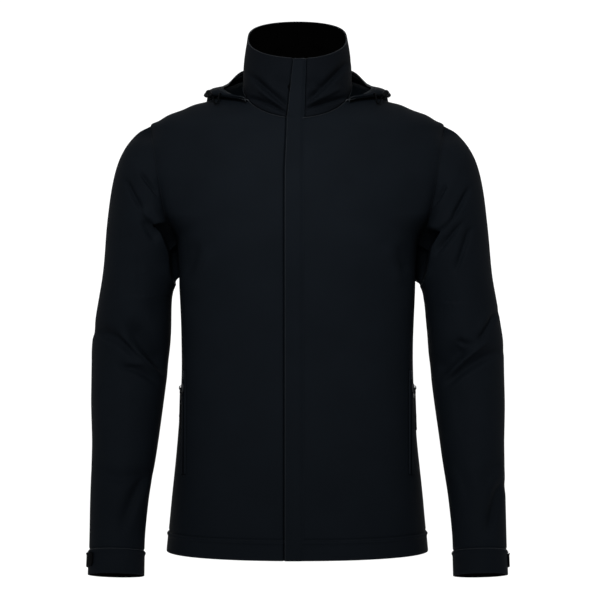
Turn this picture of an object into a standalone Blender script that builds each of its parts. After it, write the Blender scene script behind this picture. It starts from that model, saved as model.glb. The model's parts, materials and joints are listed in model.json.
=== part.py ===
"""Windbreaker with a stand-up collar and a hood laid back, in its worn shape with no wearer.

Metres, +Z up. The front faces -Y and the wearer's left is +X. The origin is on the middle line inside the
shoulders, level with the middle of the shoulder seams.
"""

import math
from collections import namedtuple

import bmesh
import bpy
import numpy as np

# Walls and gaps
CLOTH = 0.0015
COLLAR_WALL = 0.0024
FLAP_WALL = 0.0020
STRAP_WALL = 0.0018
SEAM_GAP = 0.0003
SLEEVE_GAP = 0.0005
SEAM_EDGE = 0.0015      # last strip of each panel beside a seam

# Front opening, measured across from the middle line (+X is the wearer's left)
ZIP_MIDDLE = -0.005
ZIP_OPENING = 0.008
ZIP_TAPE = 0.026
COIL_WIDTH = 0.0055
FRONT_SLIDER_LENGTH = 0.0115
SLIDER_ROOM = 0.0006     # between the slider and each side of the opening
SLIDER_FOOT = 0.03      # the slider's lower end, as a share of the step between the zip's last two lines
FLAP_FREE_EDGE = -0.0185
FLAP_SEWN_EDGE = 0.0070
FLAP_CLEAR = 0.0007     # under the flap
FLAP_COLUMNS = 5
COLLAR_LEAN = 0.007     # the opening leans this far to the wearer's left by the collar's top
FLAP_TOP_FREE = -0.0055
FLAP_TOP_SEWN = 0.0110

# Body sections from the hem to the neck seam. Each runs from the middle line to the panel's edge, which is the
# side seam up to the armpit, then the armhole up to the shoulder tip, then the shoulder seam up to the neck.
BodyRow = namedtuple(
    "BodyRow", "name z_front z_back z_edge half_width edge_x y_front y_back y_edge roundness z_ease"
)
BODY_ROWS = [
    BodyRow("hem", -0.6755, -0.675, -0.674, 0.1955, 0.1955, -0.120, 0.116, 0.000, 2.20, 1.0),
    BodyRow("hip", -0.600, -0.600, -0.600, 0.1885, 0.1885, -0.117, 0.110, 0.000, 2.28, 1.0),
    BodyRow("below waist", -0.500, -0.500, -0.500, 0.1785, 0.1785, -0.111, 0.098, 0.000, 2.35, 1.0),
    BodyRow("waist", -0.390, -0.390, -0.390, 0.1730, 0.1730, -0.107, 0.093, 0.000, 2.40, 1.0),
    BodyRow("ribs", -0.290, -0.290, -0.290, 0.1760, 0.1760, -0.112, 0.102, 0.000, 2.50, 1.0),
    BodyRow("armpit", -0.215, -0.215, -0.215, 0.1810, 0.1810, -0.116, 0.112, 0.000, 2.70, 1.0),
    BodyRow("low armhole", -0.175, -0.165, -0.172, 0.2070, 0.1960, -0.114, 0.116, 0.001, 2.40, 1.0),
    BodyRow("mid armhole", -0.130, -0.105, -0.123, 0.2280, 0.2050, -0.108, 0.116, 0.002, 2.30, 1.2),
    BodyRow("high armhole", -0.092, -0.050, -0.078, 0.2290, 0.2130, -0.101, 0.111, 0.003, 2.15, 1.5),
    BodyRow("shoulder tip", -0.062, 0.005, -0.0375, 0.2200, 0.2200, -0.093, 0.102, 0.004, 1.90, 2.0),
    BodyRow("mid shoulder", -0.048, 0.028, -0.0080, 0.1500, 0.1500, -0.089, 0.096, 0.004, 1.95, 1.6),
    BodyRow("neck", -0.035, 0.048, 0.018, 0.0810, 0.0810, -0.085, 0.088, 0.0015, 2.00, 1.0),
]
ARMPIT_ROW, TIP_ROW, NECK_ROW = 5, 9, 11
BODY_LINES, ARMHOLE_LINES, SHOULDER_LINES = 12, 10, 6
FRONT_COLUMNS, BACK_HALF_COLUMNS = 12, 11

# Sleeve rings after the armhole: middle of the ring, half sizes, and how far its outer side and its front
# are raised, in degrees
SleeveRing = namedtuple("SleeveRing", "name x y z half_width half_depth tilt pitch")
SLEEVE_RINGS = [
    SleeveRing("cap", 0.2200, 0.001, -0.1505, 0.0885, 0.067, 64.5, 0),
    SleeveRing("shoulder muscle", 0.2281, 0.000, -0.1850, 0.0795, 0.067, 53.0, 0),
    SleeveRing("high upper arm", 0.2318, 0.000, -0.2260, 0.0665, 0.065, 37.0, 0),
    SleeveRing("upper arm", 0.2395, 0.000, -0.2740, 0.0545, 0.063, 18.0, 0),
    SleeveRing("above elbow", 0.2470, 0.003, -0.3300, 0.0553, 0.062, 7.0, 0),
    SleeveRing("elbow", 0.2525, 0.004, -0.3850, 0.0563, 0.060, 4.0, 4),
    SleeveRing("below elbow", 0.2560, -0.003, -0.4480, 0.0530, 0.057, 4.0, 8),
    SleeveRing("forearm", 0.2595, -0.021, -0.5230, 0.0468, 0.051, 4.0, 11),
    SleeveRing("low forearm", 0.2645, -0.041, -0.5960, 0.0418, 0.046, 3.5, 12),
    SleeveRing("cuff seam", 0.2670, -0.055, -0.6600, 0.0396, 0.0435, 2.0, 12),
    SleeveRing("cuff edge", 0.2675, -0.064, -0.7035, 0.0398, 0.0435, 1.0, 12),
]
SLEEVE_LINES = 32
# The two sleeves hang a little differently: both lean this far to the wearer's left below the elbow, and the
# right one is this much fuller to each side
LEAN_FROM, LEAN_OVER = -0.27, 0.08      # height where that starts, and the height it takes
LOWER_LEAN = 0.0015
RIGHT_FULLER = 0.0015
SLEEVE_HALF = 0.05
FADE_LINES = 4      # folds fade in over this many lines from a seam

# Collar's top edge: an ellipse on a plane that rises to the back
COLLAR_TOP_HALF = 0.0752
COLLAR_TOP_Y = 0.015
COLLAR_TOP_DEPTH = 0.0755
COLLAR_TOP_Z = 0.0920
COLLAR_TOP_RISE = 0.0370
COLLAR_BULGE = 0.0025
COLLAR_BACK_EASE = 0.7     # below 1 keeps the top edge high for longer round the back
COLLAR_LINES = 7

# Largest folds, placed as seen from the front (face -1) or from behind (face 1); depth below zero is a trough
Fold = namedtuple("Fold", "piece face x1 z1 x2 z2 width depth")
FOLDS = [
    Fold("sleeve_right", -1, -0.280, -0.345, -0.205, -0.415, 0.013, 0.0050),
    Fold("sleeve_right", -1, -0.245, -0.370, -0.200, -0.395, 0.013, -0.0055),
    Fold("sleeve_right", -1, -0.312, -0.350, -0.272, -0.368, 0.012, -0.0045),
    Fold("sleeve_right", -1, -0.272, -0.405, -0.215, -0.415, 0.010, -0.0035),
    Fold("sleeve_right", -1, -0.235, -0.112, -0.205, -0.160, 0.011, -0.0040),
    Fold("sleeve_right", -1, -0.258, -0.124, -0.218, -0.192, 0.012, -0.0040),
    Fold("sleeve_right", -1, -0.240, -0.160, -0.196, -0.196, 0.011, 0.0035),
    Fold("sleeve_right", -1, -0.220, -0.545, -0.263, -0.650, 0.011, -0.0035),
    Fold("sleeve_right", 1, -0.295, -0.360, -0.225, -0.400, 0.014, -0.0045),
    Fold("sleeve_right", 1, -0.255, -0.170, -0.205, -0.220, 0.014, -0.0040),
    Fold("sleeve_left", -1, 0.300, -0.368, 0.226, -0.418, 0.012, -0.0050),
    Fold("sleeve_left", -1, 0.288, -0.362, 0.226, -0.412, 0.010, 0.0040),
    Fold("sleeve_left", -1, 0.238, -0.358, 0.270, -0.368, 0.011, -0.0040),
    Fold("sleeve_left", -1, 0.302, -0.325, 0.276, -0.362, 0.011, -0.0040),
    Fold("sleeve_left", -1, 0.256, -0.134, 0.212, -0.228, 0.012, -0.0040),
    Fold("sleeve_left", -1, 0.270, -0.160, 0.238, -0.258, 0.012, -0.0040),
    Fold("sleeve_left", -1, 0.240, -0.165, 0.200, -0.194, 0.011, 0.0035),
    Fold("sleeve_left", -1, 0.304, -0.575, 0.286, -0.655, 0.010, -0.0035),
    Fold("sleeve_left", 1, 0.295, -0.360, 0.225, -0.402, 0.014, -0.0045),
    Fold("sleeve_left", 1, 0.255, -0.172, 0.205, -0.218, 0.014, -0.0040),
    Fold("collar", -1, -0.070, 0.038, -0.038, 0.008, 0.009, -0.0026),
    Fold("collar", -1, 0.068, 0.044, 0.038, 0.014, 0.009, -0.0026),
    Fold("front_right", -1, -0.126, -0.215, -0.154, -0.300, 0.016, 0.0030),
    Fold("front_left", -1, 0.130, -0.215, 0.156, -0.290, 0.016, 0.0030),
]

# Hood laid back: rim points for one half, from the front end of its seam round to the middle of the back
RimPoint = namedtuple("RimPoint", "name neck_deg x y z")
HOOD_RIM = [
    RimPoint("front end", 60, 0.0765, -0.0460, -0.0060),
    RimPoint("over the collar bone", 76, 0.0930, -0.0310, 0.0025),
    RimPoint("shoulder", 92, 0.1110, -0.0090, 0.0165),
    RimPoint("behind the shoulder", 118, 0.1060, 0.0620, 0.0290),
    RimPoint("beside the collar", 143, 0.0840, 0.1120, 0.0560),
    RimPoint("behind the collar", 163, 0.0440, 0.1370, 0.0640),
    RimPoint("middle of the back", 180, 0.0000, 0.1460, 0.0670),
]
# Where the pouch turns up again, as places on the body. Round counts from the front's middle (0) over the side
# and shoulder seams (1) to the back's middle (2); clearance is how far the cloth's middle stands off the body
# and lift how far the pouch opens there.
FoldPlace = namedtuple("FoldPlace", "round row clearance lift")
HOOD_FOLD = [
    FoldPlace(0.665, 10.90, 0.0064, 0.0022),
    FoldPlace(0.870, 10.52, 0.0056, 0.0030),
    FoldPlace(1.000, 10.33, 0.0056, 0.0030),
    FoldPlace(1.420, 9.55, 0.0105, 0.0050),
    FoldPlace(1.600, 7.75, 0.0095, 0.0080),
    FoldPlace(1.790, 6.60, 0.0105, 0.0080),
    FoldPlace(2.000, 6.20, 0.0110, 0.0080),
]
HOOD_COLUMNS, HOOD_LINES = 15, 14
HOOD_SEAM_OUT, HOOD_SEAM_UP = 0.0018, 0.0028    # the hood's seam from the neck seam
HOOD_CLEAR = 0.0038     # how far the cloth's middle stands off the body beside that seam
POUCH_TURN, POUCH_RISE = 0.12, 0.38     # roundness of the turn and where the pouch is fullest, as shares

# Pocket zips, down the fronts beside the side seams
POCKET_X = 0.1665
POCKET_TOP, POCKET_BOTTOM = -0.404, -0.556
POCKET_TAPE, POCKET_COIL = 0.012, 0.005
TAPE_WALL, COIL_RISE = 0.0008, 0.0012
POCKET_LIFT = {"left": 0.0014, "right": 0.0002}     # clears the cloth where it bends under the tape
SLIDER_Z = -0.430
SLIDER_LENGTH, SLIDER_WIDTH, SLIDER_PLATE, SLIDER_ROUND = 0.0120, 0.0084, 0.0022, 0.0008
BRIDGE_WIDTH, BRIDGE_BAR, BRIDGE_SPAN, BRIDGE_CLEAR = 0.0022, 0.0012, 0.0056, 0.0026
BRIDGE_SUNK, BRIDGE_FOOT = 0.0006, 0.0001   # how far the bridge goes into the plate, and stays over it
PULL_BAR, PULL_WIDTH, PULL_WINDOW, PULL_WINDOW_WIDTH = 0.0014, 0.0064, 0.0072, 0.0036
PULL_LENGTH, PULL_TAIL_WIDTH, PULL_WALL = 0.063, 0.0050, 0.0022
PULL_ROUND = 0.0006

# Straps on the outside of the cuffs: height of the middle above the cuff edge, width, and the angles they span
STRAP_UP, STRAP_WIDTH = 0.021, 0.019
STRAP_SEWN_DEG = -85
STRAP_END_DEG = {"right": 44, "left": 12}

# Drawcord ends of the hood
CORD_RADIUS, CORD_CLEAR, CORD_POINTS = 0.0013, 0.00075, 16
CORD_EXIT_COLUMN, CORD_EXIT_ROW = 2.30, 8.55     # place on the hood where the cord comes out
CORD_HANGING = [
    (0.1165, -0.0325, 0.0000), (0.1175, -0.0345, -0.0050), (0.1195, -0.0340, -0.0085),
    (0.1220, -0.0315, -0.0075), (0.1238, -0.0290, -0.0035), (0.1252, -0.0275, 0.0003),
    (0.1270, -0.0264, 0.0020),
]
LOCK_RADIUS, LOCK_LENGTH, LOCK_SIDES = 0.0042, 0.0125, 12
# Shares of the lock's length and of its radius
LOCK_PROFILE = [(0.0, 0.75), (0.06, 0.95), (0.5, 1.0), (0.94, 0.95), (1.0, 0.75)]

FRONT, BACK = -1, 1
COLORS = {
    "shell": (0.012, 0.015, 0.019, 1),
    "zip": (0.010, 0.011, 0.013, 1),
    "plastic": (0.014, 0.015, 0.017, 1),
    "metal": (0.060, 0.062, 0.066, 1),
}


# Helpers for sections and lofts

def spaced(points, count, edge=0.0):
    """The same line again with evenly spaced points, and one more this near its end to square the seam."""
    steps = np.linalg.norm(np.diff(points, axis=0), axis=1)
    along = np.concatenate([[0.0], np.cumsum(steps)])
    at = np.linspace(0.0, along[-1], count)
    if edge:
        at = np.append(np.linspace(0.0, along[-1], count - 1), along[-1])
        at[-2] = along[-1] - edge
    return np.stack([np.interp(at, along, points[:, k]) for k in range(3)], axis=1)


def signed_power(value, power):
    return np.sign(value) * np.abs(value) ** power


def body_line(row, facing, first_angle, last_angle, count=240):
    """Points of one section between two angles, which are measured round from the middle line."""
    y_mid = row.y_front if facing == FRONT else row.y_back
    z_mid = row.z_front if facing == FRONT else row.z_back
    edge_angle = math.asin((row.edge_x / row.half_width) ** (row.roundness / 2))
    angle = np.linspace(first_angle, last_angle, count)
    power = 2 / row.roundness
    x = row.half_width * signed_power(np.sin(angle), power)
    y = row.y_edge + (y_mid - row.y_edge) * np.clip(np.cos(angle), 0, 1) ** power
    lift = np.clip(np.cos(angle / edge_angle * math.pi / 2), 0, 1) ** row.z_ease
    z = row.z_edge + (z_mid - row.z_edge) * lift
    y = y + facing * SEAM_GAP / 2
    return np.stack([x, y, z], axis=1)


def angle_at(row, x):
    return math.copysign(math.asin((abs(x) / row.half_width) ** (row.roundness / 2)), x)


def body_section(row, facing, start_x, count):
    first = angle_at(row, start_x)
    last = angle_at(row, row.edge_x)
    return spaced(body_line(row, facing, first, last, 900), count, SEAM_EDGE)


def loft(sections, at):
    """A smooth surface through equal-length sections, at these section numbers and fractions of them.

    It doesn't swing past a section on the way to the next, so seams stay where the tables put them.
    """
    p = np.asarray(sections, float)
    steps = np.linalg.norm(np.diff(p, axis=0), axis=2).mean(axis=1)
    slopes = np.diff(p, axis=0) / steps[:, None, None]
    tangents = np.empty_like(p)
    before, after = steps[:-1, None, None], steps[1:, None, None]
    low, high = slopes[:-1], slopes[1:]
    first, second = 2 * after + before, after + 2 * before
    same_way = low * high > 0
    safe_low, safe_high = np.where(same_way, low, 1.0), np.where(same_way, high, 1.0)
    tangents[1:-1] = np.where(same_way, (first + second) / (first / safe_low + second / safe_high), 0.0)
    tangents[0] = slopes[0]
    tangents[-1] = slopes[-1]
    found = []
    for value in at:
        i = min(int(value), len(p) - 2)
        t, h = value - i, steps[i]
        found.append(
            (2 * t**3 - 3 * t**2 + 1) * p[i]
            + (t**3 - 2 * t**2 + t) * h * tangents[i]
            + (3 * t**2 - 2 * t**3) * p[i + 1]
            + (t**3 - t**2) * h * tangents[i + 1]
        )
    return np.array(found)


def normals_of(grid, closed=False):
    """Unit normals of a grid of points, from the steps along its columns and rows."""
    if closed:
        across = np.roll(grid, -1, axis=1) - np.roll(grid, 1, axis=1)
    else:
        across = np.gradient(grid, axis=1)
    along = np.gradient(grid, axis=0)
    normal = np.cross(across, along)
    return normal / np.maximum(np.linalg.norm(normal, axis=2, keepdims=True), 1e-12)


def folded(piece, grid, closed=False):
    """The grid with the piece's folds pushed in or out."""
    normal = normals_of(grid, closed)
    moved = np.zeros(grid.shape[:2])
    for fold in FOLDS:
        if fold.piece != piece:
            continue
        start, end = np.array([fold.x1, fold.z1]), np.array([fold.x2, fold.z2])
        way = end - start
        length = np.linalg.norm(way)
        way = way / length
        flat = grid[:, :, [0, 2]] - start
        along = flat @ way
        aside = flat[:, :, 0] * way[1] - flat[:, :, 1] * way[0]
        over = np.maximum(0, np.maximum(-along, along - length))
        shape = np.exp(-((aside / fold.width) ** 2) - (over / (1.2 * fold.width)) ** 2)
        toward = np.clip(0.25 + fold.face * normal[:, :, 1] * 1.2, 0, 1)
        moved += fold.depth * shape * toward
    moved *= np.minimum(np.arange(len(grid)) / FADE_LINES, 1)[:, None]
    return grid + normal * moved[:, :, None]


def mirrored(grid):
    """The same grid on the other side, still facing outwards."""
    return grid[:, ::-1] * np.array([-1, 1, 1])


def sample(grid, across, along, closed=False):
    """Points of a grid at fractional column and row numbers, as two lists that make a smaller grid."""
    count = grid.shape[1]
    found = np.empty((len(along), len(across), 3))
    for r, v in enumerate(along):
        j = min(int(math.floor(v)), grid.shape[0] - 2)
        for c, u in enumerate(across):
            i = int(math.floor(u)) if closed else min(int(math.floor(u)), count - 2)
            a, b = grid[j, i % count], grid[j, (i + 1) % count]
            d, e = grid[j + 1, i % count], grid[j + 1, (i + 1) % count]
            s, t = u - i, v - j
            found[r, c] = (a * (1 - s) + b * s) * (1 - t) + (d * (1 - s) + e * s) * t
    return found


# Helpers for Blender objects

def material(name):
    made = bpy.data.materials.new(name)
    made.use_nodes = True
    shader = made.node_tree.nodes["Principled BSDF"]
    shader.inputs["Base Color"].default_value = COLORS[name.split(":")[0]]
    shader.inputs["Roughness"].default_value = 0.8
    return made


def add_object(name, mesh, look):
    obj = bpy.data.objects.new(name, mesh)
    obj.data.materials.append(material(f"{look}:{name}"))
    parts.objects.link(obj)
    return obj


def cloth(name, grid, wall, look="shell", closed=False, offset=-1.0):
    """A wall of cloth: an open sheet through the grid's points, thickened."""
    rows, columns = grid.shape[:2]
    shape = bmesh.new()
    wide = columns + 1 if closed else columns
    bmesh.ops.create_grid(shape, x_segments=wide - 1, y_segments=rows - 1, size=1.0)
    for vertex in shape.verts:
        i = round((vertex.co.x + 1) / 2 * (wide - 1))
        j = round((vertex.co.y + 1) / 2 * (rows - 1))
        vertex.co = grid[j, i % columns]
    if closed:
        bmesh.ops.remove_doubles(shape, verts=shape.verts, dist=1e-6)
    mesh = bpy.data.meshes.new(name)
    shape.to_mesh(mesh)
    shape.free()
    obj = add_object(name, mesh, look)
    thicken = obj.modifiers.new("wall", "SOLIDIFY")
    thicken.thickness = wall
    thicken.offset = offset
    thicken.use_even_offset = True
    thicken.use_quality_normals = True
    return obj


def swept(name, rings, look):
    """A solid through equal rings of points, closed at both ends."""
    shape = bmesh.new()
    rows = [[shape.verts.new(point) for point in ring] for ring in rings]
    for low, high in zip(rows[:-1], rows[1:]):
        for i in range(len(low)):
            j = (i + 1) % len(low)
            shape.faces.new((low[i], low[j], high[j], high[i]))
    shape.faces.new(rows[0][::-1])
    shape.faces.new(rows[-1])
    bmesh.ops.recalc_face_normals(shape, faces=shape.faces)
    mesh = bpy.data.meshes.new(name)
    shape.to_mesh(mesh)
    shape.free()
    return add_object(name, mesh, look)


# Surfaces of the body

def panel_lines():
    """Section numbers of the panels' mesh lines, with the armhole's lines shared by the sleeve."""
    below = np.linspace(0, ARMPIT_ROW, BODY_LINES + 1)[:-1]
    armhole = np.linspace(ARMPIT_ROW, TIP_ROW, ARMHOLE_LINES + 1)[:-1]
    shoulder = np.linspace(TIP_ROW, NECK_ROW, SHOULDER_LINES + 1)
    return np.concatenate([below, armhole, shoulder])


LINES = panel_lines()
FIRST_ARM_LINE = BODY_LINES
TIP_LINE = BODY_LINES + ARMHOLE_LINES


def front_grid(start_x):
    """One front on the +X side, from the opening to its edge."""
    rows = [body_section(row, FRONT, start_x, FRONT_COLUMNS) for row in BODY_ROWS]
    return loft(rows, LINES)


def back_half_grid():
    rows = [body_section(row, BACK, 0.0, BACK_HALF_COLUMNS + 1) for row in BODY_ROWS]
    return loft(rows, LINES)


def body_point(turn, row):
    """A point on the +X side of the body and the outward normal there; turn is a fold place's round."""
    facing = FRONT if turn <= 1 else BACK
    across = turn if turn <= 1 else 2 - turn
    step = 0.02
    u = np.clip(np.array([across - step, across, across + step]), 0, 1) * 0.999
    v = np.clip(np.array([row - step, row, row + step]), 0, NECK_ROW)
    near = []
    for r in BODY_ROWS:
        last = angle_at(r, r.edge_x)
        line = body_line(r, facing, 0.0, last, 400)
        near.append(spaced(line, 1001)[np.round(u * 1000).astype(int)])
    near = loft(near, v)
    normal = np.cross(near[1, 2] - near[1, 0], near[2, 1] - near[0, 1])
    normal = normal / np.linalg.norm(normal)
    return near[1, 1], normal if facing == FRONT else -normal


def front_strip(xs_low, xs_high, out):
    """Points of the fronts at fixed distances across, moved out: the flap and zip follow these to the neck."""
    found = []
    for k, value in enumerate(LINES):
        blend = value / NECK_ROW
        xs = xs_low + (xs_high - xs_low) * blend
        rows = [
            np.array([body_line(row, FRONT, angle_at(row, x), angle_at(row, x), 1)[0] for x in xs])
            for row in BODY_ROWS
        ]
        found.append(loft(rows, [value])[0])
    grid = np.array(found)
    return grid + normals_of(grid) * np.asarray(out)[None, :, None]


# Collar

def collar_base(left, back, right):
    """The collar's lower edge, from the opening's left side round the back to its right side."""
    return np.concatenate([left[-1], back[-1][1:-1], right[-1]])


def collar_point(base, height):
    """A point above a base point, at a fraction of the collar's height."""
    row = BODY_ROWS[NECK_ROW]
    middle = (row.y_front + row.y_back) / 2
    turn = math.atan2(base[0] / row.half_width, -(base[1] - middle) / (row.y_back - middle))
    ahead = math.cos(turn)
    ease = 1.0 if ahead > 0 else COLLAR_BACK_EASE
    top = np.array([
        COLLAR_TOP_HALF * math.sin(turn),
        COLLAR_TOP_Y - COLLAR_TOP_DEPTH * ahead,
        COLLAR_TOP_Z - COLLAR_TOP_RISE * math.copysign(abs(ahead) ** ease, ahead),
    ])
    lean = COLLAR_LEAN * height * math.exp(-((turn / 0.45) ** 2))
    bulge = COLLAR_BULGE * math.sin(math.pi * height)
    point = base + (top - base) * height
    point = point + np.array([math.sin(turn), -ahead, 0]) * bulge
    point[0] += lean
    return point


def collar_grid(base):
    heights = np.linspace(0.004, 1.0, COLLAR_LINES)
    return np.array([[collar_point(b, h) for b in base] for h in heights])


# Sleeve

def armhole_ring(front, back):
    """The armhole on the +X side, from the shoulder tip down the front to the armpit and up the back."""
    down = front[FIRST_ARM_LINE : TIP_LINE + 1, -1][::-1]
    up = back[FIRST_ARM_LINE : TIP_LINE + 1, 0]
    tip = (down[0] + up[-1]) / 2
    pit = (down[-1] + up[0]) / 2
    return np.concatenate([[tip], down[1:-1], [pit], up[1:-1]])


def sleeve_sections(ring):
    """Armhole ring and the table's rings, with points at matching places round the arm."""
    half = len(ring) // 2
    steps = np.linalg.norm(np.roll(ring, -1, axis=0) - ring, axis=1)
    along = np.concatenate([[0], np.cumsum(steps)])
    front = along[: half + 1] / along[half] * math.pi
    rest = math.pi + (along[half:-1] - along[half]) / (along[-1] - along[half]) * math.pi
    turn = np.concatenate([front[:-1], rest])
    sections = [ring]
    for r in SLEEVE_RINGS:
        tilt, pitch = math.radians(r.tilt), math.radians(r.pitch)
        outer = np.array([math.cos(tilt), 0, math.sin(tilt)]) * r.half_width
        ahead = np.array([0, -math.cos(pitch), math.sin(pitch)]) * r.half_depth
        middle = np.array([r.x, r.y, r.z])
        sections.append(middle + np.cos(turn)[:, None] * outer + np.sin(turn)[:, None] * ahead)
    sections = np.array(sections)
    away = sections[1] - sections[0]
    sections[0] += away / np.linalg.norm(away, axis=1, keepdims=True) * SLEEVE_GAP
    return sections


def sleeve_grid(ring, side):
    """Rows go from the cuff up to the armhole, so that the cloth faces outwards."""
    sections = sleeve_sections(ring)
    at = np.concatenate([[0.0, 0.06], np.linspace(0, len(SLEEVE_RINGS), SLEEVE_LINES - 1)[1:]])
    grid = loft(sections, at)[::-1][:, ::-1]
    if side < 0:
        grid = mirrored(grid)
    low = np.clip((LEAN_FROM - grid[:, :, 2]) / LEAN_OVER, 0, 1)
    grid[:, :, 0] += low * LOWER_LEAN
    if side < 0:
        from_middle = grid - grid.mean(axis=1, keepdims=True)
        grid[:, :, 0] += low * RIGHT_FULLER * from_middle[:, :, 0] / SLEEVE_HALF
    return grid


# Hood

def hood_places():
    """Rim points and fold places for each column of the +X half."""
    rim = [[r.neck_deg, r.x, r.y, r.z] for r in HOOD_RIM]
    fold = [[f.round, f.row, f.clearance, f.lift] for f in HOOD_FOLD]
    both = np.array([a + b for a, b in zip(rim, fold)])
    past = both[-2] * np.array([-1, -1, 1, 1, -1, 1, 1, 1]) + np.array([360, 0, 0, 0, 4, 0, 0, 0])
    stations = np.concatenate([both, [past]])[:, None, :]
    last = len(HOOD_RIM) - 1
    at = np.append(np.linspace(0, last, HOOD_COLUMNS - 1), last)
    at[-2] = last - 0.02
    return loft(stations, at)[:, 0]


def hood_grid():
    """The +X half, from the front end of its seam to the middle of the back; rows go from seam to rim."""
    neck = BODY_ROWS[NECK_ROW]
    sections = []
    for neck_deg, x, y, z, turn, row, clearance, lift in hood_places():
        angle = math.radians(neck_deg)
        facing = FRONT if neck_deg < 90 else BACK
        from_mid = angle if facing == FRONT else math.pi - angle
        base = body_line(neck, facing, from_mid, from_mid, 1)[0]
        outward = np.array([math.sin(angle), -math.cos(angle), 0])
        path = [base + outward * HOOD_SEAM_OUT + np.array([0, 0, HOOD_SEAM_UP])]
        start_turn = neck_deg / 90
        for part in (0.25, 0.5, 0.75, 1.0):
            point, normal = body_point(
                start_turn + (turn - start_turn) * part, NECK_ROW + (row - NECK_ROW) * part
            )
            path.append(point + normal * (HOOD_CLEAR + (clearance - HOOD_CLEAR) * part))
        edge = np.array([x, y, z])
        bottom = path[-1] + (path[-1] - path[-2]) * POUCH_TURN
        path.append(bottom + normal * lift)
        path.append(path[-1] + (edge - path[-1]) * POUCH_RISE + normal * lift)
        path.append(edge)
        sections.append(spaced_smooth(np.array(path), HOOD_LINES))
    return np.array(sections).transpose(1, 0, 2)


def spaced_smooth(points, count):
    """Evenly spaced points on a smooth line through these points."""
    dense = loft(points[:, None, :], np.linspace(0, len(points) - 1, 160))[:, 0]
    return spaced(dense, count)


# Zips

def frame_on(grid, across, along):
    """A place on a grid: point, direction across, direction up the zip and outward normal."""
    here = sample(grid, [across, across + 0.05], [along, along + 0.05])
    up = here[1, 0] - here[0, 0]
    up = up / np.linalg.norm(up)
    wide = here[0, 1] - here[0, 0]
    out = np.cross(wide, up)
    out = out / np.linalg.norm(out)
    wide = np.cross(up, out)
    return here[0, 0], wide, up, out


def pocket_line(grid):
    """Fractional column of the pocket zip on each mesh line of a front."""
    x = np.abs(grid[:, :, 0])
    found = []
    for line in x:
        order = np.argsort(line)
        found.append(np.interp(POCKET_X, line[order], np.arange(len(line))[order]))
    return np.array(found)


def at_height(grid, columns, z):
    """Fractional row where a zip's column passes a height, and the column there."""
    heights = np.array([sample(grid, [columns[j]], [float(j)])[0, 0, 2] for j in range(FIRST_ARM_LINE)])
    row = float(np.interp(z, heights, np.arange(FIRST_ARM_LINE)))
    return float(np.interp(row, np.arange(len(columns)), columns)), row


def zip_profile(tape, coil, wall, rise):
    """Half-section of a zip's strip, as steps across and out from the cloth: a tape with a raised coil."""
    t, c = tape / 2, coil / 2
    low, top, crest = SEAM_GAP, SEAM_GAP + wall, SEAM_GAP + wall + rise
    return [(-t, low), (t, low), (t, top), (c, top), (c, crest), (-c, crest), (-c, top), (-t, top)]


def pocket_zip(side_name, grid):
    columns = pocket_line(grid)
    lift = POCKET_LIFT[side_name]
    profile = zip_profile(POCKET_TAPE, POCKET_COIL, TAPE_WALL, COIL_RISE)
    rings = []
    low, high = at_height(grid, columns, POCKET_BOTTOM)[1], at_height(grid, columns, POCKET_TOP)[1]
    for along in [low, *np.arange(math.ceil(low + 0.2), high - 0.2), high]:
        across = float(np.interp(along, np.arange(len(columns)), columns))
        point, wide, up, out = frame_on(grid, across, along)
        rings.append([point + wide * a + out * (b + lift) for a, b in profile])
    swept(f"pocket_zip_{side_name}", rings, "zip")


def box_between(low, high, frame, cut=0.0, segments=2):
    """A box in a zip's own directions (across, up, out), with its edges rounded."""
    point, wide, up, out = frame
    shape = bmesh.new()
    bmesh.ops.create_cube(shape, size=1.0)
    for vertex in shape.verts:
        a, b, c = [lo + (co + 0.5) * (hi - lo) for co, lo, hi in zip(vertex.co, low, high)]
        vertex.co = point + wide * a + up * b + out * c
    bmesh.ops.recalc_face_normals(shape, faces=shape.faces)
    if cut:
        bmesh.ops.bevel(shape, geom=shape.edges, offset=cut, segments=segments, affect="EDGES", profile=0.5)
    return shape


def boolean(obj, cutter_shape, operation, name):
    mesh = bpy.data.meshes.new(name)
    cutter_shape.to_mesh(mesh)
    cutter_shape.free()
    cutter = bpy.data.objects.new(name, mesh)
    cutter.hide_render = True
    cutter.display_type = "WIRE"
    parts.objects.link(cutter)
    modifier = obj.modifiers.new(name, "BOOLEAN")
    modifier.operation = operation
    modifier.object = cutter
    modifier.solver = "EXACT"


def add_shape(name, shape, look):
    mesh = bpy.data.meshes.new(name)
    shape.to_mesh(mesh)
    shape.free()
    return add_object(name, mesh, look)


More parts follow.
